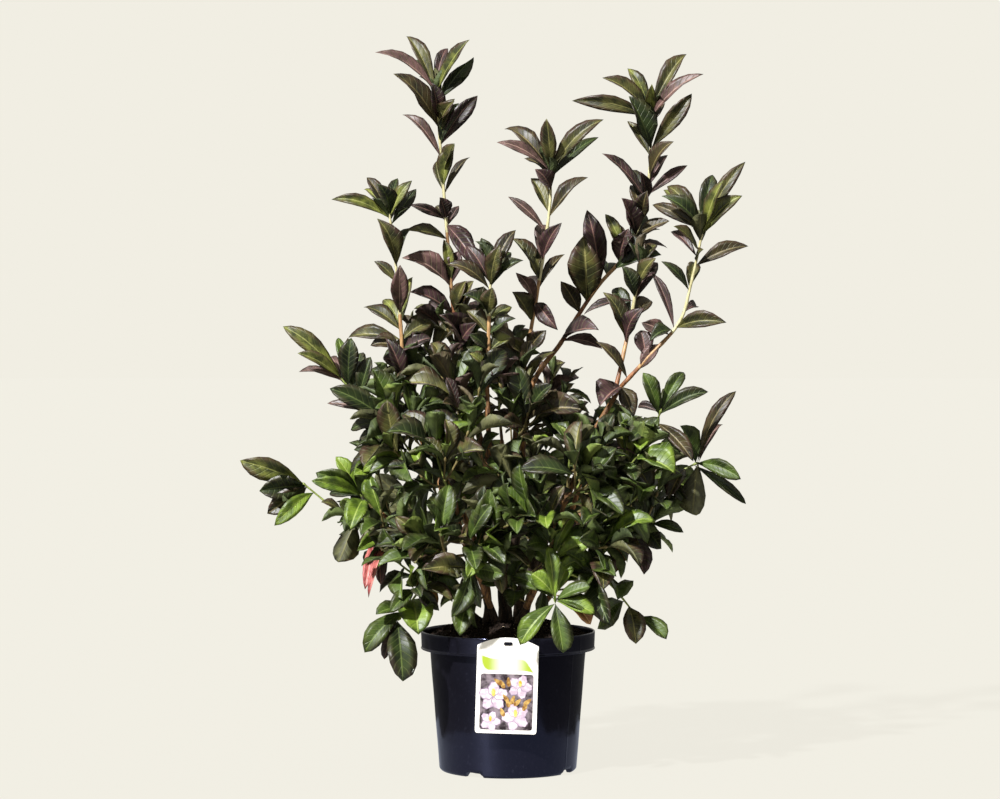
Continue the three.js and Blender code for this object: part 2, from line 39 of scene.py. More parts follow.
# ---------------------------------------------------------------- pot
# A blow-moulded tub of black polyethylene, glossy and a little uneven, with a stepped rim that stiffens its
# mouth. It stands on a foot ring with four drain notches. The two halves of its mould left a parting line up
# each side. Its skin is a profile that is turned round the upright axis.

POT_HEIGHT = 184
POT_RIM_FOOT = 160
POT_RIM_RADIUS = 115
POT_SHOULDER_RADIUS = 102.8
POT_FOOT_RADIUS = 90.3
POT_WALL = 1.6
POT_FLOOR = 9
FOOT_RING_INSIDE = 82
DRAIN_COUNT = 4
DRAIN_FIRST = 60  # degrees round from +X of the first notch's middle
DRAIN_WIDTH = 24
DRAIN_HEIGHT = 6.4
PARTING_ANGLES = (-35, 145)  # degrees round from +X
PARTING_RIDGE = 0.35
PARTING_SPREAD = 0.3  # degrees
POT_UNEVEN = 0.18
POT_CORNER = 1.1  # how far from a corner of the profile its rounding begins
POT_STEP = 7  # the most between two rings of corners
POT_SIDES = 240


def colour(code):
    """The scene-linear colour of six hexadecimal digits, with its alpha: each pair's share of 255, with 0.055
    added, over 1.055, to the power of 2.4."""
    shares = np.array([int(code[i : i + 2], 16) for i in (0, 2, 4)]) / 255
    return (*(((shares + 0.055) / 1.055) ** 2.4), 1)


class Signal:
    """A number, colour or vector that a material works out at each point. Sums on it become Math nodes."""

    def __init__(self, finish, socket):
        self.finish = finish
        self.socket = socket

    def maths(self, operation, *values):
        return self.finish.node("ShaderNodeMath", {"operation": operation}, dict(enumerate(values)))

    def __add__(self, other):
        return self.maths("ADD", self, other)

    def __sub__(self, other):
        return self.maths("SUBTRACT", self, other)

    def __rsub__(self, other):
        return self.maths("SUBTRACT", other, self)

    def __mul__(self, other):
        return self.maths("MULTIPLY", self, other)

    __radd__ = __add__
    __rmul__ = __mul__

    def size(self):
        return self.maths("ABSOLUTE", self)

    def sine(self):
        return self.maths("SINE", self)

    def rise(self, low, high):
        """0 below low and 1 above high, with a smooth rise between."""
        settings = {"interpolation_type": "SMOOTHSTEP"}
        return self.finish.node("ShaderNodeMapRange", settings, {0: self, 1: low, 2: high})


class Finish:
    """A material built round one Principled shader, whose constants are given by the names of its sockets."""

    def __init__(self, name, constants):
        self.material = bpy.data.materials.new(name)
        self.material.use_nodes = True
        self.tree = self.material.node_tree
        self.shader = self.tree.nodes["Principled BSDF"]
        for socket, value in constants.items():
            self.put(self.shader, socket, value)

    def put(self, node, socket, value):
        if isinstance(value, Signal):
            self.tree.links.new(value.socket, node.inputs[socket])
        else:
            node.inputs[socket].default_value = value

    def node(self, kind, settings, inputs, output=0):
        """Adds a node of a kind, makes its settings and then its inputs, and gives one of its outputs."""
        made = self.tree.nodes.new(kind)
        for name, value in settings.items():
            setattr(made, name, value)
        for socket, value in inputs.items():
            self.put(made, socket, value)
        return Signal(self, made.outputs[output])

    def place(self, stretch=(1, 1, 1)):
        """The point's own place on the object, in metres, drawn out or pressed in along each axis."""
        point = self.node("ShaderNodeTexCoord", {}, {}, "Object")
        return self.node("ShaderNodeVectorMath", {"operation": "MULTIPLY"}, {0: point, 1: stretch})

    def noise(self, place, scale, detail=3, roughness=0.55):
        """A cloudy number between 0 and 1, with scale clouds to the metre."""
        inputs = {"Vector": place, "Scale": scale, "Detail": detail, "Roughness": roughness}
        return self.node("ShaderNodeTexNoise", {}, inputs)

    def blend(self, share, first, second):
        """The first colour where share is 0, the second where it is 1."""
        return self.node("ShaderNodeMix", {"data_type": "RGBA"}, {0: share, 6: first, 7: second}, 2)

    def relief(self, height, depth):
        """Lets a height between 0 and 1 tilt the surface as if it stood depth metres proud."""
        bump = self.node("ShaderNodeBump", {}, {"Height": height, "Distance": depth})
        self.put(self.shader, "Normal", bump)

    def shade(self, **inputs):
        """Sets the shader's sockets, whose names are given with _ in place of a space."""
        for socket, value in inputs.items():
            self.put(self.shader, socket.replace("_", " "), value)


def eased(corners, reach, steps=4):
    """A line whose inner corners are rounded. Each becomes the curve (1-s)^2 a + 2s(1-s) corner + s^2 b,
    where a and b lie on its two sides, reach away from it, or half a side away if that is less."""
    corners = np.asarray(corners, float)
    corner = corners[1:-1]
    sides = [corners[:-2] - corner, corners[2:] - corner]
    lengths = [np.linalg.norm(side, axis=1, keepdims=True) for side in sides]
    a, b = (corner + side * np.minimum(reach / length, 0.5) for side, length in zip(sides, lengths))
    s = np.linspace(0, 1, steps)[:, None]
    curve = a[:, None] * (1 - s) ** 2 + corner[:, None] * 2 * s * (1 - s) + b[:, None] * s**2
    return np.vstack([corners[:1], curve.reshape(-1, 2), corners[-1:]])


def stepped(line, step):
    """The same line with more points along its long stretches, none further than step from the next."""
    gaps = np.linalg.norm(np.diff(line, axis=0), axis=1)
    counts = np.maximum(np.ceil(gaps / step).astype(int), 1)
    shares = [i + np.arange(n) / n for i, n in enumerate(counts)]
    place = np.concatenate([*shares, [len(gaps)]])
    return np.column_stack([np.interp(place, np.arange(len(line)), axis) for axis in line.T])


def skin_faces(rings, sides):
    """The faces of a closed skin over rings of corners: four-cornered between two rings, and three-cornered
    round one more corner at its start, before the rings, and one at its end, after them."""
    column = np.arange(sides)
    following = (column + 1) % sides
    row = 1 + sides * np.arange(rings - 1)[:, None]
    four = np.stack([row + column, row + following, row + following + sides, row + column + sides], axis=-1)
    last = 1 + sides * (rings - 1)
    start = np.stack([np.zeros(sides, int), 1 + following, 1 + column], axis=-1)
    end = np.stack([np.full(sides, last + sides), last + column, last + following], axis=-1)
    return [four.reshape(-1, 4), np.vstack([start, end])]


def new_piece(name, nodes, corners, faces, finishes, kinds=None, surface=None):
    """A smooth-shaded piece from its corners in metres and its arrays of faces, in place of some nodes. kinds
    gives each face's finish, and surface each corner's place across and along it, for patterns."""
    loops = np.concatenate([array.ravel() for array in faces])
    sizes = np.concatenate([np.full(len(array), array.shape[1]) for array in faces])
    mesh = bpy.data.meshes.new(name)
    mesh.vertices.add(np.size(corners) // 3)
    mesh.vertices.foreach_set("co", np.ravel(corners))
    mesh.loops.add(len(loops))
    mesh.loops.foreach_set("vertex_index", loops)
    mesh.polygons.add(len(sizes))
    mesh.polygons.foreach_set("loop_start", np.cumsum(sizes) - sizes)
    for finish in finishes:
        mesh.materials.append(finish.material)
    if kinds is not None:
        mesh.polygons.foreach_set("material_index", np.concatenate(kinds))
    if surface is not None:
        mesh.uv_layers.new(name="surface").data.foreach_set("uv", surface.reshape(-1, 2)[loops].ravel())
    mesh.update(calc_edges=True)
    mesh.shade_smooth()
    piece = bpy.data.objects.new(name, mesh)
    bpy.context.collection.objects.link(piece)
    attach(piece, "root")
    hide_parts(*nodes)
    return piece


def turned(profile, angles):
    """Rings of corners [radius cos angle, radius sin angle, height], one for each point of a profile."""
    radius, height = profile.T[:, :, None] * np.ones(len(angles))
    return np.stack([radius * np.cos(angles), radius * np.sin(angles), height], axis=-1)


def wall_radius(height):
    """The pot wall's outside, which widens evenly from its foot to its shoulder."""
    return POT_FOOT_RADIUS + (POT_SHOULDER_RADIUS - POT_FOOT_RADIUS) * height / POT_RIM_FOOT


# Radius and height, from under the floor, out and up the outside, over the rim, and down inside to the floor.
POT_PROFILE = [
    [58, 0], [60, 7], [81, 7], [FOOT_RING_INSIDE, 0],
    [POT_FOOT_RADIUS - 2.5, 0], [wall_radius(3), 3],
    [wall_radius(POT_RIM_FOOT), POT_RIM_FOOT],
    [POT_RIM_RADIUS - 0.6, POT_RIM_FOOT],
    [POT_RIM_RADIUS + 0.1, POT_RIM_FOOT + 1.2],
    [POT_RIM_RADIUS - 0.9, POT_RIM_FOOT + 2.8],
    [POT_RIM_RADIUS, POT_HEIGHT],
    [POT_RIM_RADIUS - 2.2, POT_HEIGHT],
    [POT_RIM_RADIUS - 3.2, POT_RIM_FOOT + POT_WALL],
    [wall_radius(POT_RIM_FOOT) - POT_WALL, POT_RIM_FOOT - 1.2],
    [wall_radius(POT_FLOOR) - POT_WALL, POT_FLOOR],
    [20, POT_FLOOR],
]
pot_line = stepped(eased(POT_PROFILE, POT_CORNER), POT_STEP)
even_angles = np.linspace(0, 360, POT_SIDES, endpoint=False)
parting_angles = np.add.outer(PARTING_ANGLES, (-0.5, -0.25, 0, 0.25, 0.5)).ravel() % 360
pot_angles = np.radians(np.union1d(even_angles, parting_angles))
pot_skin = turned(pot_line, pot_angles)
radius, height = np.hypot(pot_skin[..., 0], pot_skin[..., 1]), pot_skin[..., 2]
outside = (np.arange(len(pot_line)) < np.argmax(pot_line[:, 0]))[:, None] & (height > 8)
swell = POT_UNEVEN * np.sin(5 * pot_angles + height / 17) * np.sin(height / 29 + 2 * pot_angles)
for angle in PARTING_ANGLES:
    off_line = (np.degrees(pot_angles) - angle + 180) % 360 - 180
    swell = swell + PARTING_RIDGE * np.exp(-((off_line / PARTING_SPREAD) ** 2))
pot_skin[..., :2] *= (1 + outside * swell / radius)[..., None]
off_notch = (np.degrees(pot_angles) - DRAIN_FIRST + 45) % (360 / DRAIN_COUNT) - 45
notch = np.clip((DRAIN_WIDTH / 2 - np.abs(np.radians(off_notch)) * POT_FOOT_RADIUS) / 2 + 0.5, 0, 1)
foot_ring = radius > FOOT_RING_INSIDE - 2
pot_skin[..., 2] = np.where(foot_ring, np.maximum(height, DRAIN_HEIGHT * notch), height)
pot_corners = np.vstack([[[0, 0, 0]], pot_skin.reshape(-1, 3), [[0, 0, POT_FLOOR]]]) * MM

black_plastic = Finish("black_polyethylene", {"Specular Tint": colour("c4ccff"), "IOR": 1.52})
place = black_plastic.place()
haze = black_plastic.noise(place, 11)
dust = black_plastic.noise(place, 240, 5).rise(0.55, 0.8)
black_plastic.shade(
    Base_Color=black_plastic.blend(dust * 0.3 + haze * 0.1, colour("08070c"), colour("2c2c38")),
    Roughness=0.08 + haze * 0.1 + dust * 0.1,
)
black_plastic.relief(black_plastic.noise(place, 38, 1), 0.6 * MM)

pot_faces = skin_faces(*pot_skin.shape[:2])
new_piece("pot_tub", ["pot"], pot_corners, pot_faces, [black_plastic])

# ---------------------------------------------------------------- potting soil
# Damp peat with bark fibre, pressed in by hand: it rises from just under the rim to a low mound round the
# stems. It is a turned profile, roughened, and crumbs and a few pale chips lie loose on it.

SOIL_TOP = 195
SOIL_TOP_RADIUS = 48
SOIL_EDGE = 172
SOIL_EDGE_RADIUS = 111.4
SOIL_GAP = 0.4  # between the soil and the pot
SOIL_RINGS = 64
SOIL_SIDES = 180
RIPPLE_HEIGHT = 0.9
GRAIN_HEIGHT = 0.8
CRUMB_COUNT = 1700
CRUMB_SIZES = (1.2, 4.6)
CHIP_COUNT = 150
CHIP_SIZES = (0.8, 2.6)
chance_of_soil = np.random.default_rng(11)


def mound(radius):
    """The soil's height: level round the stems, then down to its edge along two straight falls."""
    middle = (SOIL_TOP_RADIUS + SOIL_EDGE_RADIUS) / 2
    falls = [SOIL_TOP, (SOIL_EDGE + 2 * SOIL_TOP) / 3, SOIL_EDGE]
    return np.interp(radius, [SOIL_TOP_RADIUS, middle, SOIL_EDGE_RADIUS], falls)


def ripples(points, shortest, longest, count, rng):
    """A rough height between about -1 and 1: the mean of many cosine waves that cross at all angles, times
    the square root of their number."""
    bearing = rng.uniform(0, 2 * np.pi, count)
    length = rng.uniform(shortest, longest, count)
    phase = rng.uniform(0, 2 * np.pi, count)
    across = points[..., :1] * np.cos(bearing) + points[..., 1:2] * np.sin(bearing)
    return np.cos(2 * np.pi * across / length + phase).mean(-1) * np.sqrt(count)


soil_radii = np.linspace(SOIL_EDGE_RADIUS, 3, SOIL_RINGS)
soil_top_line = np.column_stack([soil_radii, mound(soil_radii)])
soil_body_line = [
    [40, POT_FLOOR + SOIL_GAP],
    [wall_radius(POT_FLOOR) - POT_WALL - SOIL_GAP, POT_FLOOR + SOIL_GAP],
    [wall_radius(POT_RIM_FOOT) - POT_WALL - SOIL_GAP, POT_RIM_FOOT - 1],
    [SOIL_EDGE_RADIUS, POT_RIM_FOOT + 3],
]
soil_angles = np.linspace(0, 2 * np.pi, SOIL_SIDES, endpoint=False)
soil_skin = turned(np.vstack([soil_body_line, soil_top_line]), soil_angles)
off_edge = SOIL_EDGE_RADIUS - np.hypot(*soil_skin.T[:2]).T
loose = (soil_skin[..., 2] > SOIL_EDGE - 1) * np.clip(off_edge / 4, 0, 1)
soil_skin[..., 2] += loose * RIPPLE_HEIGHT * ripples(soil_skin, 5, 22, 40, chance_of_soil)
soil_skin[..., 2] += loose * chance_of_soil.uniform(-GRAIN_HEIGHT, GRAIN_HEIGHT, loose.shape)
soil_corners = np.vstack([[[0, 0, POT_FLOOR + SOIL_GAP]], soil_skin.reshape(-1, 3), [[0, 0, SOIL_TOP]]]) * MM

peat = Finish("damp_peat", {"Roughness": 0.95, "Specular IOR Level": 0.25})
place = peat.place()
grain = peat.noise(place, 420, 6, 0.7)
peat.shade(Base_Color=peat.blend(grain.rise(0.35, 0.75), colour("120c09"), colour("3a2b21")))
peat.relief(grain, 1.6 * MM)

new_piece("soil_mound", ["soil"], soil_corners, skin_faces(*soil_skin.shape[:2]), [peat])

# A lump's corners before it is squashed: the twelve of an icosahedron, as two rings of five between two
# poles. A ring lies one part up or down for two parts out, and all the corners are one away from the middle.
RING = np.radians(72) * np.arange(5)
LUMP = np.vstack(
    [
        [[0, 0, -1]],
        turned(np.array([[2, -1]]), RING)[0] / np.sqrt(5),
        turned(np.array([[2, 1]]), RING + RING[1] / 2)[0] / np.sqrt(5),
        [[0, 0, 1]],
    ]
)


def lump_faces():
    """The faces of one lump: a fan round each pole and a zigzag of triangles between the two rings."""
    i = np.arange(5)
    j = (i + 1) % 5
    zero = np.zeros(5, int)
    start = np.stack([zero, 1 + j, 1 + i], axis=-1)
    up = np.stack([1 + i, 1 + j, 6 + i], axis=-1)
    down = np.stack([1 + j, 6 + j, 6 + i], axis=-1)
    end = np.stack([zero + 11, 6 + i, 6 + j], axis=-1)
    return np.vstack([start, up, down, end])


def repeated(faces, count, corners):
    """The faces of count like shapes that follow each other, each with the given number of corners."""
    return (faces + corners * np.arange(count)[:, None, None]).reshape(-1, faces.shape[1])


def scattered_lumps(count, size_range, flatness, rng):
    """Corners of lumps that lie at random on the mound. Each is stretched by its own sizes, its corners are
    pushed in or out by up to a quarter, and it is turned round the upright axis and sunk by a third."""
    radius = np.sqrt(rng.uniform(0, (SOIL_EDGE_RADIUS - 4) ** 2, count))
    bearing = rng.uniform(0, 2 * np.pi, count)
    sizes = rng.uniform(*size_range, (count, 1)) * rng.uniform(0.6, 1, (count, 3)) * (1, 1, flatness)
    shape = LUMP * rng.uniform(0.75, 1.15, (count, len(LUMP), 1)) * sizes[:, None]
    turn = rng.uniform(0, 2 * np.pi, (count, 1))
    x = shape[..., 0] * np.cos(turn) - shape[..., 1] * np.sin(turn)
    y = shape[..., 0] * np.sin(turn) + shape[..., 1] * np.cos(turn)
    height = mound(radius) + sizes[:, 2] / 3
    foot = np.stack([radius * np.cos(bearing), radius * np.sin(bearing), height], axis=-1)
    return (foot[:, None] + np.stack([x, y, shape[..., 2]], axis=-1)) * MM


crumb_corners = scattered_lumps(CRUMB_COUNT, CRUMB_SIZES, 0.85, chance_of_soil)
crumb_faces = [repeated(lump_faces(), CRUMB_COUNT, len(LUMP))]
new_piece("soil_crumbs", ["soil"], crumb_corners, crumb_faces, [peat])

chip_wood = Finish("pale_chips", {"Roughness": 0.8})
place = chip_wood.place()
streak = chip_wood.noise(place, 300, 4)
chip_wood.shade(Base_Color=chip_wood.blend(streak, colour("7a5f45"), colour("d8c7ae")))
chip_wood.relief(streak, 0.5 * MM)
chip_corners = scattered_lumps(CHIP_COUNT, CHIP_SIZES, 0.5, chance_of_soil)
chip_faces = [repeated(lump_faces(), CHIP_COUNT, len(LUMP))]
new_piece("soil_chips", ["soil"], chip_corners, chip_faces, [chip_wood])

# ---------------------------------------------------------------- plant label and its peg
# A white polypropylene card with an arched top, punched with a slot and pushed over a peg on the pot's rim.
# Its printed side has a ribbon over a panel of made-up blooms and buds, each a thin layer of ink.

LABEL_WIDTH = 79
LABEL_SIDE = 113
LABEL_SHOULDER = 2.6  # the square shoulders, below the peg
LABEL_ARCH = 10.5
LABEL_CORNER = 4
LABEL_THICKNESS = 0.8
LABEL_BEVEL = 0.15
LABEL_LEAN = 0.03  # radians
LABEL_GAP = 0.35  # from the rim to the label, and from the label to the peg's head
LABEL_BACK = -POT_RIM_RADIUS - LABEL_GAP
PEG_Z = 178
PEG_WIDTH = 8
PEG_HEIGHT = 3.4
PEG_HEAD = 1.2
PEG_SIDES = 24
SHARP = np.radians(30)  # an edge that turns by more than this is shaded as an edge
PEG_SHARP = np.radians(40)  # and on the peg, by more than this
PRINT_SINK = 0.02  # how far a print goes down into the card
PRINT_LIFT = 0.05  # each layer of print stands this much prouder than the one below
PRINT_STEP = 0.01  # and each shape in a layer this much prouder than the one before
INK_RELIEF = 0.05


def on_label(across, up, lift=0):
    """Places on the label's printed side, from their distance across and up from the peg."""
    x = across * np.cos(LABEL_LEAN) + up * np.sin(LABEL_LEAN)
    z = PEG_Z + up * np.cos(LABEL_LEAN) - across * np.sin(LABEL_LEAN)
    return np.stack([x, np.full_like(x, LABEL_BACK - LABEL_THICKNESS) - lift, z], axis=-1)


def bowed(a, middle, b, steps=24):
    """The curve (1-s)^2 a + 2s(1-s) middle + s^2 b."""
    s = np.linspace(0, 1, steps)[:, None]
    return np.asarray(a) * (1 - s) ** 2 + np.asarray(middle) * 2 * s * (1 - s) + np.asarray(b) * s**2


half = LABEL_WIDTH / 2
top, bottom = -LABEL_SHOULDER, -LABEL_SHOULDER - LABEL_SIDE
peak = top + LABEL_ARCH
side_line = eased([[-half, top], [-half, bottom], [half, bottom], [half, top]], LABEL_CORNER, 8)
label_line = np.vstack([side_line, bowed([half, top], [half / 2, peak], [0, peak])])
label_line = stepped(np.vstack([label_line, bowed([0, peak], [-half / 2, peak], [-half, top])]), 2)[:-1]
label_line = label_line[np.append(True, np.linalg.norm(np.diff(label_line, axis=0), axis=1) > 0.01)]
slot_half = np.array([PEG_WIDTH + 1, PEG_HEIGHT + 1]) / 2
line_angle = np.unwrap(np.arctan2(label_line[:, 1], label_line[:, 0]))
slot_corner = np.arctan2(slot_half[1], slot_half[0])
corner_angles = np.add.outer((0, np.pi, 2 * np.pi), (-slot_corner, slot_corner)).ravel() + np.pi
corner_angles = corner_angles[(corner_angles > line_angle[0]) & (corner_angles < line_angle[-1])]
label_angles = np.union1d(line_angle, corner_angles)
label_rim = np.column_stack([np.interp(label_angles, line_angle, axis) for axis in label_line.T])
ray = np.column_stack([np.cos(label_angles), np.sin(label_angles)])
slot_rim = ray * (slot_half / np.maximum(np.abs(ray), 1e-9)).min(axis=1, keepdims=True)
outward = label_rim / np.linalg.norm(label_rim, axis=1, keepdims=True)
bevelled_rim = label_rim - LABEL_BEVEL * outward
label_rings = [
    (slot_rim, 0), (bevelled_rim, 0), (label_rim, -LABEL_BEVEL), (label_rim, LABEL_BEVEL - LABEL_THICKNESS),
    (bevelled_rim, -LABEL_THICKNESS), (slot_rim, -LABEL_THICKNESS),
]
label_corners = np.stack([on_label(*line.T, lift) for line, lift in label_rings])


def band_faces(rings, sides):
    """The faces of a skin that closes on itself both ways, like a ring's."""
    row = np.arange(rings)[:, None]
    column = np.arange(sides)
    next_row, next_column = (row + 1) % rings, (column + 1) % sides
    corners = [(row, column), (row, next_column), (next_row, next_column), (next_row, column)]
    return np.stack([r * sides + c for r, c in corners], axis=-1).reshape(-1, 4)


card = Finish("white_card", {"IOR": 1.5})
cloud = card.noise(card.place(), 30)
card.shade(Base_Color=card.blend(cloud, colour("f6f5f1"), colour("e9e7e2")), Roughness=0.3 + cloud * 0.15)
card.relief(cloud, 0.1 * MM)
label_faces = [band_faces(*label_corners.shape[:2])]
label = new_piece("label_card", ["plant_label"], label_corners * MM, label_faces, [card])
label.data.set_sharp_from_angle(angle=SHARP)


def joined(name, nodes, shapes, finishes):
    """One piece of many closed skins. A shape is its corners, its rings, its sides and each ring's finish."""
    corners, fours, threes, kinds, end_kinds, count = [], [], [], [], [], 0
    for points, rings, sides, ring_kinds in shapes:
        four, three = skin_faces(rings, sides)
        corners.append(points)
        fours.append(four + count)
        threes.append(three + count)
        kinds.append(np.repeat(ring_kinds[:-1], sides))
        end_kinds.append(np.repeat([ring_kinds[0], ring_kinds[-1]], sides))
        count += len(points)
    faces = [np.vstack(fours), np.vstack(threes)]
    slots = [np.concatenate(kinds), np.concatenate(end_kinds)]
    return new_piece(name, nodes, np.vstack(corners) * MM, faces, finishes, slots)


def printed(name, outlines, layer, finish):
    """One piece of flat printed shapes, a thin layer of ink each. An outline is a closed line round its own
    middle. It is drawn once on the ink's face and once just under the card's."""
    shapes = []
    for i, line in enumerate(outlines):
        lift = PRINT_LIFT * layer + PRINT_STEP * i
        middle = line.mean(axis=0, keepdims=True)
        rings = [(middle, -PRINT_SINK), (line, -PRINT_SINK), (line, lift), (middle, lift)]
        corners = np.vstack([on_label(*part.T, depth) for part, depth in rings])
        shapes.append((corners, 2, len(line), [0, 0]))
    piece = joined(name, ["plant_label"], shapes, [finish])
    piece.data.set_sharp_from_angle(angle=SHARP)


def ink(name, first, second, scale):
    """A printed colour that wanders between two."""
    finish = Finish(name, {"Roughness": 0.35})
    cloud = finish.noise(finish.place(), scale, 4)
    finish.shade(Base_Color=finish.blend(cloud.rise(0.35, 0.65), colour(first), colour(second)))
    finish.relief(cloud, INK_RELIEF * MM)
    return finish


def oval(x, y, width, height, lean=0, pinch=0.0, waves=0.0):
    """An oval round a middle, turned by lean. Its radius at an angle a is longer by waves sin 7a, and it
    narrows towards its top by pinch (1 + sin a) / 2."""
    a = np.linspace(0, 2 * np.pi, 36, endpoint=False)
    reach = 1 + waves * np.sin(7 * a)
    u = width / 2 * np.cos(a) * (1 - pinch * (0.5 + 0.5 * np.sin(a))) * reach
    v = height / 2 * np.sin(a) * reach
    ahead, aside = np.cos(lean), np.sin(lean)
    return np.column_stack([x + u * ahead - v * aside, y + u * aside + v * ahead])


PANEL = dict(left=-34, right=34, top=-39, bottom=-111)


def panel_line(grow):
    """The picture panel's outline, a rectangle with rounded corners, grown on all sides."""
    left, right = PANEL["left"] - grow, PANEL["right"] + grow
    low, high = PANEL["bottom"] - grow, PANEL["top"] + grow
    corners = [[0, low], [right, low], [right, high], [left, high], [left, low], [0, low]]
    return stepped(eased(corners, 4, 7), 4)[:-1]


printed("label_frame", [panel_line(1.9)], 1, ink("frame_ink", "8d8a98", "a5a2b0", 60))
printed("label_gap", [panel_line(1.4)], 2, ink("gap_ink", "dddcd8", "e6e5e2", 60))
printed("label_ground", [panel_line(0)], 3, ink("mauve_ground", "20151a", "83777f", 95))

ribbon_low = eased([[33, -36], [24, -34], [-24, -34]], 6)
ribbon_end = bowed([-24, -34], [-33, -32], [-33, -16], 12)
ribbon_top = eased([[-33, -16], [-20, -20], [22, -20], [33, -36]], 5)
ribbon = stepped(np.vstack([ribbon_low, ribbon_end, ribbon_top]), 3)
ribbon = ribbon[:-1][np.linalg.norm(np.diff(ribbon, axis=0), axis=1) > 0.01]


def grown_ribbon(wider, taller):
    """The ribbon's outline, drawn out from its middle sideways and upwards."""
    middle = ribbon.mean(axis=0)
    return middle + (ribbon - middle) * (wider, taller)


ribbon_ink = Finish("ribbon_ink", {"Roughness": 0.35})
across = ribbon_ink.node("ShaderNodeSeparateXYZ", {}, {0: ribbon_ink.place()}, "X")
fade = across.size().rise(6 * MM, 27 * MM)
ribbon_ink.shade(Base_Color=ribbon_ink.blend(fade, colour("d4d6cc"), colour("9cb032")))
ribbon_ink.relief(ribbon_ink.noise(ribbon_ink.place(), 80), INK_RELIEF * MM)
printed("label_ribbon_edge", [grown_ribbon(1.04, 1.12)], 1, ink("grey_ink", "6f7570", "858a84", 60))
printed("label_ribbon_gap", [grown_ribbon(1.02, 1.06)], 2, ink("ribbon_gap", "d6d7d2", "dedfda", 60))
printed("label_ribbon", [ribbon], 3, ribbon_ink)

# The blooms: their middle and radius. Each has five wavy petals with a shaded edge, and a yellow blotch on
# the top one. Buds stand between them, each with its middle and its lean.
BLOOMS = [(17, -55, 14), (-17, -68, 17), (12, -94, 16), (-20, -100, 12)]
BUDS = [
    (-6, -52, 0.5), (2, -49, 0.1), (-12, -49, 0.9), (8, -72, -0.3), (14, -75, -0.8),
    (2, -76, 0.2), (-1, -70, 0.7), (27, -74, -0.9), (24, -80, -0.4), (-5, -88, 0.4),
]
FIFTHS = np.pi / 2 + 2 * np.pi * np.arange(5) / 5
PETAL_ORDER = [2, 3, 1, 4, 0]  # the lowest petals first, so that the top one lies over the rest
petals, petal_edges, blotches = [], [], []
for k, (x, y, size) in enumerate(BLOOMS):
    for angle in FIFTHS[PETAL_ORDER] + 0.35 * (k % 3 - 1):
        middle = (x + 0.56 * size * np.cos(angle), y + 0.56 * size * np.sin(angle))
        petal_edges.append(oval(*middle, 0.88 * size, 1.14 * size, angle - np.pi / 2, 0.1, 0.06))
        petals.append(oval(*middle, 0.76 * size, 1.02 * size, angle - np.pi / 2, 0.1, 0.06))
    blotches.append(oval(x, y + 0.3 * size, 0.3 * size, 0.6 * size, 0.05, 0.0, 0.1))
printed("label_petal_edges", petal_edges, 4, ink("petal_edge_ink", "84708c", "b09fb4", 160))
printed("label_petals", petals, 4.1, ink("petal_ink", "d8ced0", "b29fb0", 150))
printed("label_blotches", blotches, 9, ink("blotch_ink", "b89a1e", "cfc070", 200))
buds = [oval(x, y, 7, 12, lean, 0.5) for x, y, lean in BUDS]
printed("label_buds", buds, 7.5, ink("bud_ink", "7a5222", "c09f5c", 170))

# The peg, a rounded square, from inside the rim to its head in front of the label: each station's place, its
# part of the full height, and how much it stands out on either side of the shank.
peg_middle = -POT_RIM_RADIUS + POT_WALL
peg_front = LABEL_BACK - LABEL_THICKNESS - LABEL_GAP
peg_stations = [
    (peg_middle, 1, 0), (peg_front, 1, 0), (peg_front - 0.1, 1, 1.5),
    (peg_front - PEG_HEAD + 0.3, 1, 1.5), (peg_front - PEG_HEAD, 0.9, 1.2),
]
turn = np.linspace(0, 2 * np.pi, PEG_SIDES, endpoint=False)
square = np.column_stack([np.cos(turn), np.sin(turn)])
square /= np.abs(square).max(axis=1, keepdims=True) ** 0.8
peg_rings = []
for y, part, wider in peg_stations:
    x = square[:, 0] * (PEG_WIDTH / 2 + wider)
    z = PEG_Z + square[:, 1] * PEG_HEIGHT / 2 * part
    peg_rings.append(np.column_stack([x, np.full(PEG_SIDES, y), z]))
peg_corners = np.vstack([[[0, peg_middle, PEG_Z]], *peg_rings, [[0, peg_front - PEG_HEAD, PEG_Z]]]) * MM
peg_faces = skin_faces(len(peg_stations), PEG_SIDES)
peg = new_piece("label_peg", ["pot"], peg_corners, peg_faces, [black_plastic])
peg.data.set_sharp_from_angle(angle=PEG_SHARP)

# ---------------------------------------------------------------- trunk, leaders and stems
# Wood: a short dark trunk that forks into leaders, and thinner stems from the same root round it. Each is a
# tube along a smooth curve. Old bark is fissured and nearly black. Young bark is thin, orange-brown, with
# fine streaks and a ring at each year's end.

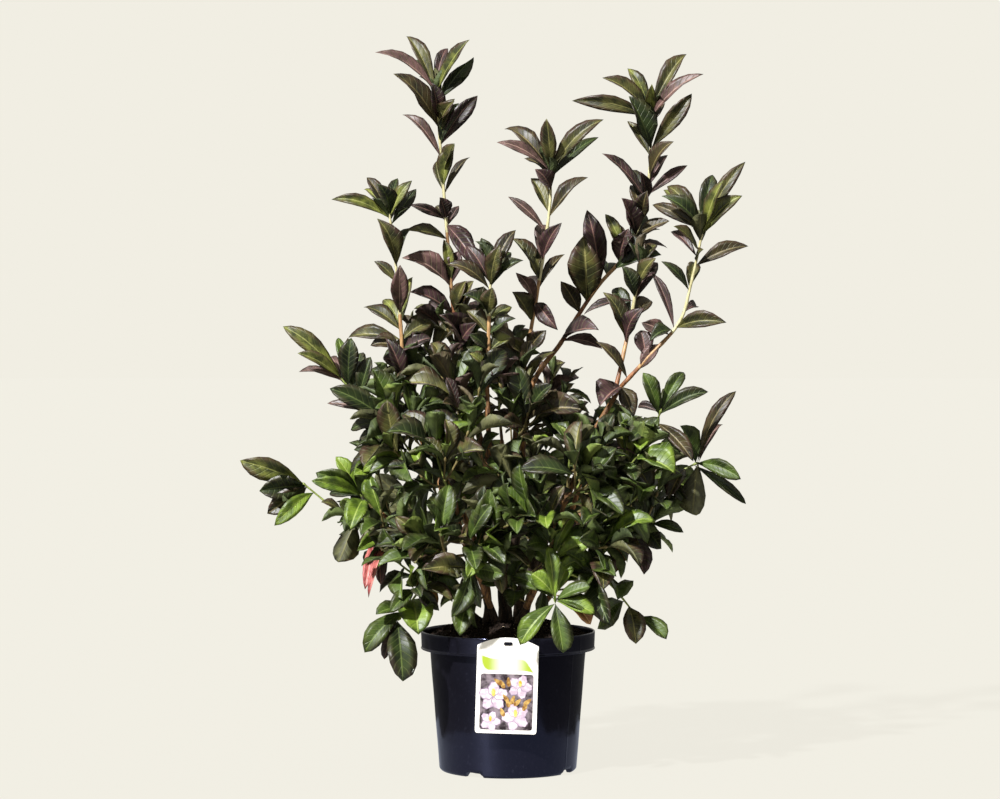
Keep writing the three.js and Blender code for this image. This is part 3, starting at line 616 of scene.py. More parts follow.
# Each limb's points from foot to tip and its radius at both ends. flare is the swelling of its foot, and old
# the share of its length, from the foot, that has old bark.
YOUNG_LIMB = dict(flare=0, old=0.15)
LEADER = dict(old=0.45)
STEM = dict(radii=(4.8, 2.8), flare=1.5)
THIN_STEM = dict(STEM, radii=(4.4, 2.6))
LOW_STEM = dict(STEM, radii=(4, 2.6))
LIMBS = {
    "trunk": dict(radii=(8.6, 6.8), flare=4.5, points=[(-3, 0, 188), (-6, 2, 240), (-9, 3, 300)]),
    "leader_left": dict(
        LEADER, radii=(6, 3.2), points=[(-9, 3, 300), (-20, 8, 370), (-42, 15, 455), (-66, 20, 545)]
    ),
    "leader_front": dict(
        LEADER, radii=(5, 2.8),
        points=[(-5, 1, 232), (-14, -22, 285), (-21, -46, 370), (-25, -62, 440), (-27, -68, 505)],
    ),
    "leader_mid": dict(
        LEADER, radii=(5.4, 3),
        points=[(-7, 2, 262), (6, -8, 300), (10, -13, 360), (9, -12, 430), (15, -10, 495)],
    ),
    "leader_right": dict(
        LEADER, radii=(5.6, 3),
        points=[(-7, 2, 250), (10, 18, 295), (15, 28, 350), (29, 50, 495), (72, 52, 565)],
    ),
    "bough_right": dict(
        LEADER, radii=(6, 3), flare=2.5,
        points=[
            (13, -16, 188), (17, -17, 238), (31, -15, 266), (63, -9, 330), (95, -3, 400), (110, 0, 440),
            (149, -4, 506),
        ],
    ),
    "bough_far_right": dict(
        LEADER, radii=(4.4, 2.7),
        points=[(24, -16, 252), (54, 0, 285), (95, 8, 335), (138, 8, 378), (168, 4, 410)],
    ),
    "stem_left": dict(
        STEM,
        points=[
            (-28, -18, 188), (-27, -19, 236), (-42, -22, 300), (-80, -27, 380), (-118, -30, 445),
            (-135, -30, 494),
        ],
    ),
    "stem_low_left": dict(
        LOW_STEM, points=[(-30, 4, 188), (-56, -4, 216), (-76, -12, 250), (-120, -22, 300), (-165, -28, 340)]
    ),
    "stem_low_right": dict(
        LOW_STEM, points=[(30, -20, 188), (54, -26, 230), (100, -30, 275), (145, -30, 310)]
    ),
    "stem_back_left": dict(STEM, points=[(-20, 18, 188), (-40, 50, 260), (-78, 88, 330), (-100, 108, 400)]),
    "stem_back_right": dict(STEM, points=[(18, 17, 188), (42, 56, 260), (84, 98, 330), (105, 116, 400)]),
    "stem_back": dict(STEM, points=[(-1, 28, 188), (-4, 70, 280), (-6, 108, 360), (-8, 125, 430)]),
    "stem_front_left": dict(
        THIN_STEM, points=[(-12, -30, 188), (-34, -60, 250), (-58, -90, 310), (-68, -102, 360)]
    ),
    "stem_front_right": dict(
        THIN_STEM, points=[(9, -37, 188), (38, -66, 250), (62, -94, 310), (72, -104, 360)]
    ),
}
FLARE_DECAY = 10  # how fast a foot's swelling dies away up its limb
RING_STEP = 3.5  # between two rings of corners
BARK_SIDES = 28
RIDGE_WAVES = 16
YEAR_STEP = 45  # between the rings that years left on a limb
FRAME_REFERENCE = np.array([0.12, 0.98, 0.1])  # a way that no limb or twig runs


def along(points, t):
    """Places at shares t of a smooth curve through points. Between two of them it is the cubic that runs at
    each in the direction from the point before it to the point after it, half as fast."""
    points = np.asarray(points, float)
    run = np.atleast_1d(t) * (len(points) - 1)
    i = np.minimum(run.astype(int), len(points) - 2)
    s = (run - i)[:, None]
    all_points = np.vstack([2 * points[0] - points[1], points, 2 * points[-1] - points[-2]])
    a, b, c, d = (all_points[i + k] for k in range(4))
    leave, arrive = (c - a) / 2, (d - b) / 2
    return b + s * leave + s**2 * (3 * (c - b) - 2 * leave - arrive) + s**3 * (2 * (b - c) + leave + arrive)


def unit(vectors):
    """Vectors of the same directions, each with a length of 1."""
    return vectors / np.linalg.norm(vectors, axis=-1, keepdims=True)


def frames(points, t):
    """The curve's direction at t, and two across it: direction x reference, and direction x the first."""
    middle = np.clip(t, 0.01, 0.99)
    ahead = unit(along(points, middle + 0.01) - along(points, middle - 0.01))
    across = unit(np.cross(ahead, FRAME_REFERENCE))
    return ahead, across, np.cross(ahead, across)


def tube(points, t, radii, sides):
    """Corners of a closed tube along a curve: its foot, a ring at each share t, and its tip. A ring's corners
    are its middle + radius (cos a across + sin a over), with one radius for each ring or for each corner."""
    ahead, across, over = frames(points, t)
    middle = along(points, t)
    angle = np.linspace(0, 2 * np.pi, sides, endpoint=False)
    spoke = np.cos(angle)[:, None] * across[:, None] + np.sin(angle)[:, None] * over[:, None]
    radii = np.broadcast_to(np.reshape(radii, (len(t), -1)), (len(t), sides))
    rings = middle[:, None] + spoke * radii[..., None]
    foot = middle[:1] - ahead[:1] * radii[0].mean() / 2
    tip = middle[-1:] + ahead[-1:] * radii[-1].mean() / 2
    return np.vstack([foot, rings.reshape(-1, 3), tip])


def bark(t, length, radius, depth, rng):
    """A limb's radius round each ring: radius (1 + depth x ridges). The ridges are a mean of waves that close
    round the limb and drift up it, times the root of their number. It swells a little every YEAR_STEP."""
    angle = np.linspace(0, 2 * np.pi, BARK_SIDES, endpoint=False)
    up = (t * length)[:, None, None]
    turns = rng.integers(1, 9, RIDGE_WAVES)
    drift = rng.uniform(-0.12, 0.12, RIDGE_WAVES)
    phase = rng.uniform(0, 2 * np.pi, RIDGE_WAVES)
    ridges = np.cos(turns * angle[:, None] + drift * up + phase).mean(-1) * np.sqrt(RIDGE_WAVES)
    swelling = np.exp(-(((t * length) % YEAR_STEP - 22) ** 2) / 14)[:, None]
    return radius[:, None] * (1 + depth * ridges + 0.05 * swelling)


def wood(name, dark, light, depth, gloss):
    """Bark: streaks drawn out along the stem, and specks of pale breathing pores across them."""
    finish = Finish(name, {"Roughness": gloss})
    streak = finish.noise(finish.place((1, 1, 0.2)), 330, 5, 0.6)
    pores = finish.noise(finish.place((1, 1, 2)), 500, 2).rise(0.62, 0.72)
    tone = finish.blend(streak.rise(0.3, 0.7), colour(dark), colour(light))
    finish.shade(Base_Color=finish.blend(pores * 0.35, tone, colour("b9a48a")))
    finish.relief(streak + pores * 0.4, depth * MM)
    return finish


old_bark = wood("old_bark", "17100c", "4e3c2e", 0.9, 0.85)
young_bark = wood("young_bark", "4a2e1c", "a87a4a", 0.35, 0.6)
chance_of_wood = np.random.default_rng(5)
limb_paths = {}
old_wood, young_wood = [], []
for name, own in LIMBS.items():
    limb = YOUNG_LIMB | own
    points = np.array(limb["points"], float)
    fine = along(points, np.linspace(0, 1, 200))
    length = np.linalg.norm(np.diff(fine, axis=0), axis=1).sum()
    t = np.linspace(0, 1, int(length / RING_STEP))
    foot, tip = limb["radii"]
    radius = foot + (tip - foot) * t + limb["flare"] * np.exp(-FLARE_DECAY * t)
    is_trunk = name == "trunk"
    relief = bark(t, length, radius, 0.07 if is_trunk else 0.04, chance_of_wood)
    limb_paths[name] = points
    shape = (tube(points, t, relief, BARK_SIDES), len(t), BARK_SIDES, (t > limb["old"]).astype(int))
    (old_wood if is_trunk else young_wood).append(shape)
joined("trunk_wood", ["trunk"], old_wood, [old_bark, old_bark])
stems = [name for name in LIMBS if name != "trunk"]
joined("stem_wood", stems, young_wood, [old_bark, young_bark])

# ---------------------------------------------------------------- twigs
# Each limb carries on in this year's and last year's twigs: a main one to the middle of its mass of leaves, a
# side twig from that, and finer ones between. They are tubes too, brown at the foot, then tan, then
# yellow-green, and each ends in a bud. A twig's habit also says which leaves it carries.

HABIT = dict(
    at=1,  # the share of its limb at which a main twig grows
    through=[],  # the points that it passes on the way to its tip
    sag=0.12,  # with no such points, how far its middle hangs below the line, as a part of its length
    twigs=1,  # side twigs
    fine=4,  # finer ones
    radius=2.2,
    tip_radius=1.1,
    main=True,  # whether it is a mass's main twig
    spaced=3,  # leaves spaced up the twig
    tuft=6,  # leaves crowded at its end
    first=0.35,  # the share of the twig at which the first leaf stands
    tuft_part=0.22,  # the share of the twig that the tuft takes up
    low=52,  # how far the spaced leaves stand off the twig, in degrees
    wide=62,  # how far the tuft's outermost leaf does
    tight=22,  # how far its innermost does
    droop=0.12,  # how far the leaves' direction is pulled down
    length=78,
    young=0.75,  # the lowest leaf's part of the full length
    width=0.37,  # a leaf's width, as a part of its length
    blunt=0.35,  # how blunt a leaf's tip is, from 0
    by_hand=False,  # whether its leaves are set one by one
    lower=("deep_shaded", "mid", "deep_shaded", "mid", "olive"),  # tints of the spaced leaves
    upper=("mid", "deep_shaded", "fresh_sunlit", "mid", "olive", "mid"),  # tints of the tuft
)
BY_HAND = dict(by_hand=True, twigs=0, fine=0)
TALL = BY_HAND | dict(droop=0.15, blunt=0, radius=2.9, tip_radius=1.5)
HANGING = BY_HAND | dict(sag=-0.25, blunt=0.6)
TURNING = dict(upper=("deep_shaded", "olive", "bronze", "mid", "wine"), lower=("bronze", "olive", "deep_shaded"))
# Each mass's main twig: its limb and tip, its seed where the rule grows leaves, and what its habit changes.
# A search ranked the seeds by how near their leaves come to the real bush's outline.
SHOOTS = {
    "shoot_left": dict(
        limb="stem_left", seed=513, through=[(-140, -30, 580), (-145, -30, 650)], tip=(-155, -35, 735)
    ),
    "shoot_tallest": dict(
        limb="leader_left", seed=741, young=0.7,
        through=[(-75, 20, 635), (-80, 20, 700), (-85, 20, 765), (-90, 20, 830)], tip=(-95, 15, 895),
    ),
    "shoot_short": dict(
        limb="leader_front", seed=292, young=0.9,
        through=[(-25, -70, 585), (-25, -70, 620)], tip=(-20, -70, 655),
    ),
    "shoot_middle": dict(
        limb="leader_mid", seed=944, young=0.78,
        through=[(30, -15, 580), (45, -15, 670), (55, -20, 745)], tip=(55, -20, 790),
    ),
    "shoot_bronze": dict(
        limb="leader_right", seed=458, young=0.85,
        through=[(118, 55, 636), (155, 55, 678), (178, 60, 728), (190, 60, 800)], tip=(190, 60, 870),
    ),
    "shoot_right": dict(
        limb="bough_right", seed=422, young=0.85,
        through=[(185, -10, 545), (225, -10, 590), (240, -15, 640)], tip=(255, -20, 710),
    ),
    "shoot_right_low": dict(
        limb="bough_right", at=0.96, seed=420, young=0.9,
        through=[(160, 25, 580), (170, 25, 635)], tip=(175, 30, 670),
    ),
}
SPRAYS = {
    "spray_left_high": dict(BY_HAND, limb="stem_left", at=0.8, tip=(-240, 0, 540)),
    "spray_left_mid": dict(limb="stem_left", at=0.62, tip=(-155, -70, 465), seed=944),
    "spray_left_out": dict(BY_HAND, limb="stem_low_left", tip=(-206, -38, 385)),
    "spray_left_far": dict(BY_HAND, limb="stem_low_left", at=0.86, tip=(-272, -10, 380)),
    "spray_left_low": dict(limb="stem_low_left", at=0.7, tip=(-200, -50, 335), length=60, fine=0, seed=113),
    "spray_left_foot": dict(limb="stem_low_left", at=0.55, tip=(-148, -95, 285), length=64, fine=0, seed=589),
    "spray_left_hang": dict(HANGING, limb="stem_low_left", at=0.42, tip=(-143, -82, 204)),
    "spray_left_back": dict(limb="stem_back_left", at=0.55, tip=(-165, 110, 325), seed=28),
    "spray_right_high": dict(BY_HAND, limb="bough_far_right", tip=(200, -50, 478)),
    "spray_right_out": dict(BY_HAND, limb="bough_far_right", at=0.8, tip=(252, 0, 406)),
    "spray_right_mid": dict(limb="bough_right", at=0.5, tip=(170, -75, 420), seed=346),
    "spray_right_back": dict(limb="stem_back_right", at=0.6, tip=(215, 100, 390), seed=234),
    "spray_right_low": dict(limb="stem_low_right", tip=(195, -10, 330), length=66, fine=0, seed=146),
    "spray_right_foot": dict(limb="stem_low_right", at=0.75, tip=(125, -92, 298), fine=0, seed=118),
    "spray_right_hang": dict(HANGING, limb="stem_low_right", at=0.5, tip=(168, -62, 208)),
    "spray_front_hang": dict(HANGING, limb="stem_front_right", at=0.55, tip=(60, -140, 232)),
    "spray_front_right": dict(limb="stem_front_right", tip=(100, -120, 400), seed=543),
    "spray_front_mid": dict(limb="stem_front_right", at=0.8, tip=(25, -135, 345), seed=472),
    "spray_front_left": dict(limb="stem_front_left", tip=(-95, -115, 430), seed=107),
    "spray_front_low": dict(limb="stem_front_left", at=0.7, tip=(-35, -130, 305), seed=31),
    "spray_front_side": dict(limb="stem_front_left", at=0.55, tip=(-105, -110, 305), seed=603),
    "spray_front_out": dict(limb="stem_front_right", at=0.7, tip=(120, -110, 330), seed=113),
    "spray_mid_left": dict(TURNING, limb="leader_front", at=0.62, tip=(-75, -60, 515), seed=353),
    "spray_mid_right": dict(TURNING, limb="leader_mid", at=0.62, tip=(20, -50, 525), seed=78),
    "spray_high_left": dict(
        TURNING, limb="leader_left", at=0.72, tip=(-115, 10, 570), length=60, fine=2, seed=545
    ),
    "spray_high_mid": dict(
        TURNING, limb="leader_left", at=0.9, tip=(-55, 25, 590), length=64, fine=3, seed=483
    ),
    "spray_high_right": dict(TURNING, limb="bough_right", at=0.57, tip=(82, -40, 448), fine=0, seed=110),
    "spray_high_back": dict(TURNING, limb="leader_right", at=0.5, tip=(60, 90, 515), length=52, seed=103),
    "spray_back_top": dict(TURNING, limb="stem_back", tip=(-15, 145, 540), seed=349),
    "spray_back_left": dict(limb="stem_back_left", tip=(-130, 120, 500), seed=433),
    "spray_back_right": dict(limb="stem_back_right", tip=(140, 140, 440), length=55, seed=247),
    "spray_back_mid": dict(limb="stem_back", at=0.7, tip=(-50, 185, 375), seed=921),
    "spray_back_low": dict(limb="stem_back", at=0.5, tip=(50, 175, 330), seed=587),
    "spray_back_side": dict(limb="stem_back_right", at=0.75, tip=(125, 155, 345), seed=4),
}
# Short leafy sprouts inside the bush: each one's mass, limb, share of the limb, tip and seed.
SPROUTS = [
    ("spray_front_low", "stem_front_left", 0.25, (-55, -75, 232), 12),
    ("spray_front_low", "trunk", 0.45, (-18, -48, 262), 27),
    ("spray_front_mid", "stem_front_right", 0.2, (2, -78, 248), 35),
    ("spray_front_out", "stem_front_right", 0.3, (66, -96, 262), 41),
    ("spray_left_foot", "stem_low_left", 0.35, (-92, -50, 262), 58),
    ("spray_right_foot", "stem_low_right", 0.4, (112, -62, 268), 63),
    ("spray_right_low", "bough_right", 0.3, (66, -50, 318), 76),
    ("spray_back_low", "stem_back", 0.25, (18, 84, 250), 83),
    ("spray_front_left", "stem_front_left", 0.8, (-98, -70, 378), 90),
    ("spray_front_side", "stem_front_left", 0.45, (-92, -92, 300), 104),
    ("spray_mid_left", "leader_front", 0.6, (-48, -92, 446), 117),
    ("spray_mid_left", "leader_front", 0.35, (-12, -100, 398), 121),
    ("spray_mid_right", "leader_mid", 0.55, (2, -62, 482), 133),
    ("spray_mid_right", "leader_mid", 0.35, (34, -64, 420), 149),
    ("spray_front_mid", "stem_front_right", 0.5, (54, -104, 306), 152),
    ("spray_left_out", "stem_low_left", 0.9, (-174, -34, 412), 168),
    ("spray_high_back", "leader_right", 0.35, (50, 8, 420), 175),
    ("spray_high_back", "leader_right", 0.6, (10, 62, 470), 181),
    ("spray_high_mid", "leader_left", 0.7, (-50, 50, 500), 190),
    ("spray_back_top", "stem_back", 0.5, (-20, 62, 400), 203),
    ("spray_back_side", "stem_back_right", 0.5, (70, 50, 350), 214),
    ("spray_back_left", "stem_back_left", 0.5, (-70, 46, 350), 222),
]
SPROUTING = dict(
    main=False, radius=1.3, spaced=1, tuft=5, length=54, width=0.46, low=70, wide=78, tight=35,
    lower=("fresh_sunlit", "mid"), upper=("fresh_sunlit", "mid", "olive"),
)
GOLDEN_ANGLE = np.radians(137.5)
SIDE_TWIG = dict(length=58, radius=1.7, leaf_share=0.95)
SIDE_TWIG_PLACE = 0.5
FINE_TWIG = dict(length=36, radius=1.3, leaf_share=0.8)
FINE_TWIG_PLACES = (0.38, 0.72, 0.55, 0.86)
TWIG_SIDES = 8
MAIN_TWIG_RINGS = 40
SIDE_TWIG_RINGS = 16
BUD_RADIUS = 2.1
BUD_PLACE = 4  # from the tip


def chance(seed, count, use):
    """A repeatable number from 0 to 1: the part after the point of 43758.5453 sin(12.9898 seed + 78.233 count
    + 37.719 use)."""
    x = np.sin(seed * 12.9898 + count * 78.233 + use * 37.719) * 43758.5453
    return x - np.floor(x)


def first_azimuth(seed):
    """Where round a twig its first leaf stands, in radians."""
    return 2 * np.pi * chance(seed, 0, 7)


def handed(seed):
    """Which way round a twig its leaves follow each other: 1 or -1."""
    return 1 if chance(seed, 0, 8) < 0.5 else -1


def stand_off(frame_there, angle, azimuth):
    """Directions that stand off a twig's own by an angle, turned round it to an azimuth: cos angle ahead +
    sin angle (cos azimuth across + sin azimuth over)."""
    ahead, across, over = frame_there
    angle, azimuth = np.atleast_1d(angle)[:, None], np.atleast_1d(azimuth)[:, None]
    return np.cos(angle) * ahead + np.sin(angle) * (np.cos(azimuth) * across + np.sin(azimuth) * over)


def main_twig(own):
    """A twig that leaves its limb and ends at its tip. With no points to pass, it sags by its habit."""
    twig = HABIT | own
    foot = along(limb_paths[twig["limb"]], twig["at"])
    end = np.array([twig["tip"]], float)
    bow = (foot + end) / 2 - (0, 0, twig["sag"] * np.linalg.norm(end - foot))
    twig["path"] = np.vstack([foot, twig["through"] or bow, end])
    return twig


def side_twig(twig, i, at, length, radius, leaf_share):
    """Side twig number i of a twig, with a small tuft: it stands off at 0.9 radians and turns up by a quarter
    of its length. Each comes out a golden angle round from the one before, and its leaves are shorter."""
    seed = twig["seed"]
    root = along(twig["path"], at)
    azimuth = first_azimuth(seed) + np.pi / 2 + handed(seed) * GOLDEN_ANGLE * (i + 1)
    direction = stand_off(frames(twig["path"], np.array([at])), 0.9, azimuth)
    length = length * (0.85 + 0.3 * chance(seed, i, 9))
    path = np.vstack([root, root + direction * length / 2, root + direction * length + (0, 0, length / 4)])
    tuft = dict(spaced=1, tuft=4, first=0.5, tuft_part=0.3, length=leaf_share * twig["length"])
    return twig | tuft | dict(path=path, radius=radius, main=False, seed=seed + 1000 * (i + 1))


all_twigs = []
for name, own in (SHOOTS | SPRAYS).items():
    habit = TALL if name in SHOOTS else {}
    stem = main_twig(habit | own | dict(mass=name))
    all_twigs.append(stem)
    if stem["twigs"]:
        all_twigs.append(side_twig(stem, 0, SIDE_TWIG_PLACE, **SIDE_TWIG))
    for i, at in enumerate(FINE_TWIG_PLACES[: stem["fine"]], 1):
        all_twigs.append(side_twig(stem, i, at, **FINE_TWIG))
main_twigs = {twig["mass"]: twig for twig in all_twigs if twig["main"]}
for mass, limb, at, tip, seed in SPROUTS:
    all_twigs.append(main_twig(SPROUTING | dict(mass=mass, limb=limb, at=at, tip=tip, seed=seed)))


def twig_shape(twig):
    """A twig's tube, its rings and sides, and each ring's bark. It tapers, swells a little every seventh of
    its way, and ends in a bud: a bulge of BUD_RADIUS at BUD_PLACE from the tip, where it closes. The rings
    lie at the sines of even steps from 0 to a right angle, so that they are close together at the bud."""
    main, tip_radius = twig["main"], twig["tip_radius"]
    t = np.sin(np.linspace(0, np.pi / 2, MAIN_TWIG_RINGS if main else SIDE_TWIG_RINGS))
    fine = along(twig["path"], np.linspace(0, 1, 30))
    left = (1 - t) * np.linalg.norm(np.diff(fine, axis=0), axis=1).sum()
    taper = twig["radius"] + (tip_radius - twig["radius"]) * t
    swelling = 1 + 0.14 * np.exp(-(((t * 7) % 1 - 0.5) ** 2) / 0.02)
    bud = (BUD_RADIUS - tip_radius) * np.exp(-(((left - BUD_PLACE) / 2.2) ** 2))
    radius = (taper * swelling + bud) * np.clip(left / 3 + 0.03, 0, 1) ** 0.6
    stage = (t > 0.15).astype(int) + (t > 0.4) if main else np.ones(len(t), int)
    return tube(twig["path"], t, radius, TWIG_SIDES), len(t), TWIG_SIDES, stage


shoot_bark = [
    wood("shoot_bark_low", "58351f", "a06a42", 0.2, 0.5),
    wood("shoot_bark_middle", "8a6544", "c29a68", 0.15, 0.45),
    wood("shoot_bark_top", "a8a070", "ddd6aa", 0.1, 0.4),
]
spray_bark = [
    wood("spray_bark_low", "3c2a1e", "75563a", 0.25, 0.6),
    wood("spray_bark_middle", "5a4a2c", "8f8452", 0.15, 0.5),
    wood("spray_bark_top", "5d6b2e", "97a352", 0.1, 0.45),
]
for name, masses, barks in (("shoot_twigs", SHOOTS, shoot_bark), ("spray_twigs", SPRAYS, spray_bark)):
    shapes = [twig_shape(twig) for twig in all_twigs if twig["mass"] in masses]
    joined(name, masses, shapes, barks)

# ---------------------------------------------------------------- leaves
# Thin pointed blades on short stalks, spaced up each twig and crowded into a tuft at its end. A blade is
# folded along a pale midrib, quilted between its side veins, and bends back at the tip. The tall shoots' are
# bronzed, and those and the ones at the edge of the bush are set one by one.

LEAF_STATIONS = np.array([0.06, 0.18, 0.33, 0.5, 0.66, 0.81, 0.93])
STALK_POWER = 1.35  # how slowly a blade widens from its stalk
LEAF_FULLNESS = 1.12  # how much wider a blade is drawn than its width says, for what its fold takes up
ARCH = 0.22  # how far every blade arches upward
# Round a blade at one station: how far across each corner stands, and its height over the blade in lengths.
ACROSS = np.array([-1, -0.52, -0.04, 0.04, 0.52, 1, 0])
RAISED = np.array([0, 0.016, 0, 0, 0.016, 0, -0.018])
UPPER, RIB, UNDER = 0, 1, 2
ROUND_KINDS = np.array([UPPER, UPPER, RIB, UPPER, UPPER, UNDER, UNDER])
BLADE_CORNERS = len(LEAF_STATIONS) * len(ACROSS) + 2


def half_width(s, taper):
    """Half a blade's width, as a part of its greatest: s to the STALK_POWER times (1 - s) to the taper, over
    its peak. A taper of 1 makes a sharp tip, and of 0.6 a blunt one."""
    fullest = STALK_POWER / (STALK_POWER + taper)
    return s**STALK_POWER * (1 - s) ** taper / (fullest**STALK_POWER * (1 - fullest) ** taper)


def facing(direction, wish, roll):
    """The way a leaf faces: as near to wish as its direction lets it, and then rolled round its direction."""
    face = unit(wish - (wish * direction).sum(-1, keepdims=True) * direction)
    return np.cos(roll) * face + np.sin(roll) * np.cross(direction, face)


def leaves_of(twig):
    """Where each of a twig's leaves stands, its direction, the way it faces, its length, width and taper, and
    its tint. The leaves wind round the twig by golden angles, first the spaced ones and then the tuft, and
    face along the twig and up."""
    seed, spaced, tuft = twig["seed"], twig["spaced"], twig["tuft"]
    i = np.arange(spaced + tuft)
    in_tuft = i >= spaced
    lowness = np.minimum(i / spaced, 1)
    inner = np.maximum(i - spaced, 0) / (tuft - 1)
    tuft_start = 1 - twig["tuft_part"]
    spaced_place = twig["first"] + (tuft_start - twig["first"]) * lowness
    t = np.where(in_tuft, 1 - twig["tuft_part"] * (1 - inner), spaced_place)
    frame_there = frames(twig["path"], t)
    swing = np.radians(40 * (chance(seed, i, 1) - 0.5))
    azimuth = first_azimuth(seed) + handed(seed) * GOLDEN_ANGLE * i + swing
    angle = np.where(in_tuft, twig["wide"] + (twig["tight"] - twig["wide"]) * inner, twig["low"])
    direction = stand_off(frame_there, np.radians(angle + 22 * (chance(seed, i, 2) - 0.5)), azimuth)
    direction[:, 2] -= twig["droop"] * np.where(in_tuft, 0.5 * (1 - inner), 1)
    direction = unit(direction)
    face = facing(direction, frame_there[0] + (0, 0, 0.6), 1.3 * (chance(seed, i, 4) - 0.5)[:, None])
    grown = np.where(in_tuft, 1 - 0.38 * inner**2, twig["young"] + (0.92 - twig["young"]) * lowness)
    length = twig["length"] * grown * (0.88 + 0.24 * chance(seed, i, 3))
    tints = [twig["upper" if high else "lower"] for high in in_tuft]
    picked = [tint[int(share * len(tint))] for tint, share in zip(tints, chance(seed, i, 5))]
    width = np.full(len(i), twig["width"])
    taper = 1.08 - twig["blunt"] * (0.4 + 0.6 * chance(seed, i, 6))
    return np.column_stack([along(twig["path"], t), direction, face, length, width, taper]), picked


def blades(leaves, rng):
    """Corners of folded, bent blades and their place across and along each. A blade's rib runs root + length
    (direction s + (curl (s - s^2) + hook (s - s^6)) face + bend (s^2 - s) side + ARCH (s - s^2) up). A corner
    stands off it by out to the side, with out = half width x its place across, and by fold |out| + ripple +
    length x raised to the face. Side and face turn round the rib with a twist."""
    root, direction, face = leaves[:, :3], leaves[:, 3:6], leaves[:, 6:9]
    length, width, taper = leaves[:, 9:, None, None].transpose(1, 0, 2, 3)
    count = (len(leaves), 1, 1)
    curl, hook = rng.uniform(0.02, 0.4, count), rng.uniform(0, 0.12, count)
    bend, twist = rng.normal(0, 0.07, count), rng.normal(0, 0.4, count)
    fold, phase = rng.uniform(0.3, 1, count), rng.uniform(0, 2 * np.pi, count)
    s = LEAF_STATIONS[None, :, None]
    side = np.cross(direction, face)
    cosine, sine = (wave(twist * (s - 0.2))[..., None] for wave in (np.cos, np.sin))
    side_there = cosine * side[:, None, None] + sine * face[:, None, None]
    face_there = cosine * face[:, None, None] - sine * side[:, None, None]
    fullness = half_width(s, taper)
    out = fullness * length * width * LEAF_FULLNESS / 2 * ACROSS
    ripple = 0.14 * np.sin(11 * s + phase + 2 * np.sign(ACROSS)) * np.abs(out)
    lift = fold * np.abs(out) + ripple + length * RAISED * fullness

    def rib(s):
        rise, sway = curl * (s - s**2) + hook * (s - s**6), bend * (s**2 - s)
        ways = s[..., None] * direction[:, None, None] + rise[..., None] * face[:, None, None]
        ways = ways + (s - s**2)[..., None] * (0, 0, ARCH)
        return root[:, None, None] + length[..., None] * (ways + sway[..., None] * side[:, None, None])

    rings = rib(s) + out[..., None] * side_there + lift[..., None] * face_there
    tip = rib(np.ones((1, 1, 1)))[:, 0]
    corners = np.concatenate([root[:, None], rings.reshape(len(leaves), -1, 3), tip], axis=1)
    grid = np.stack(np.broadcast_arrays((ACROSS + 1) / 2, LEAF_STATIONS[:, None]), axis=-1).reshape(-1, 2)
    surface = np.vstack([[[0.5, 0]], grid, [[0.5, 1]]])
    return corners, np.broadcast_to(surface, (len(leaves), *surface.shape))


# The small leaves still crowded round the bud of a tall shoot, whose grown leaves are set one by one.
HEART = dict(
    spaced=1, tuft=5, first=0.93, tuft_part=0.05, length=46, width=0.36, low=45, wide=45, tight=12,
    lower=("deep_shaded",), upper=("deep_shaded", "bronze", "olive"),
)
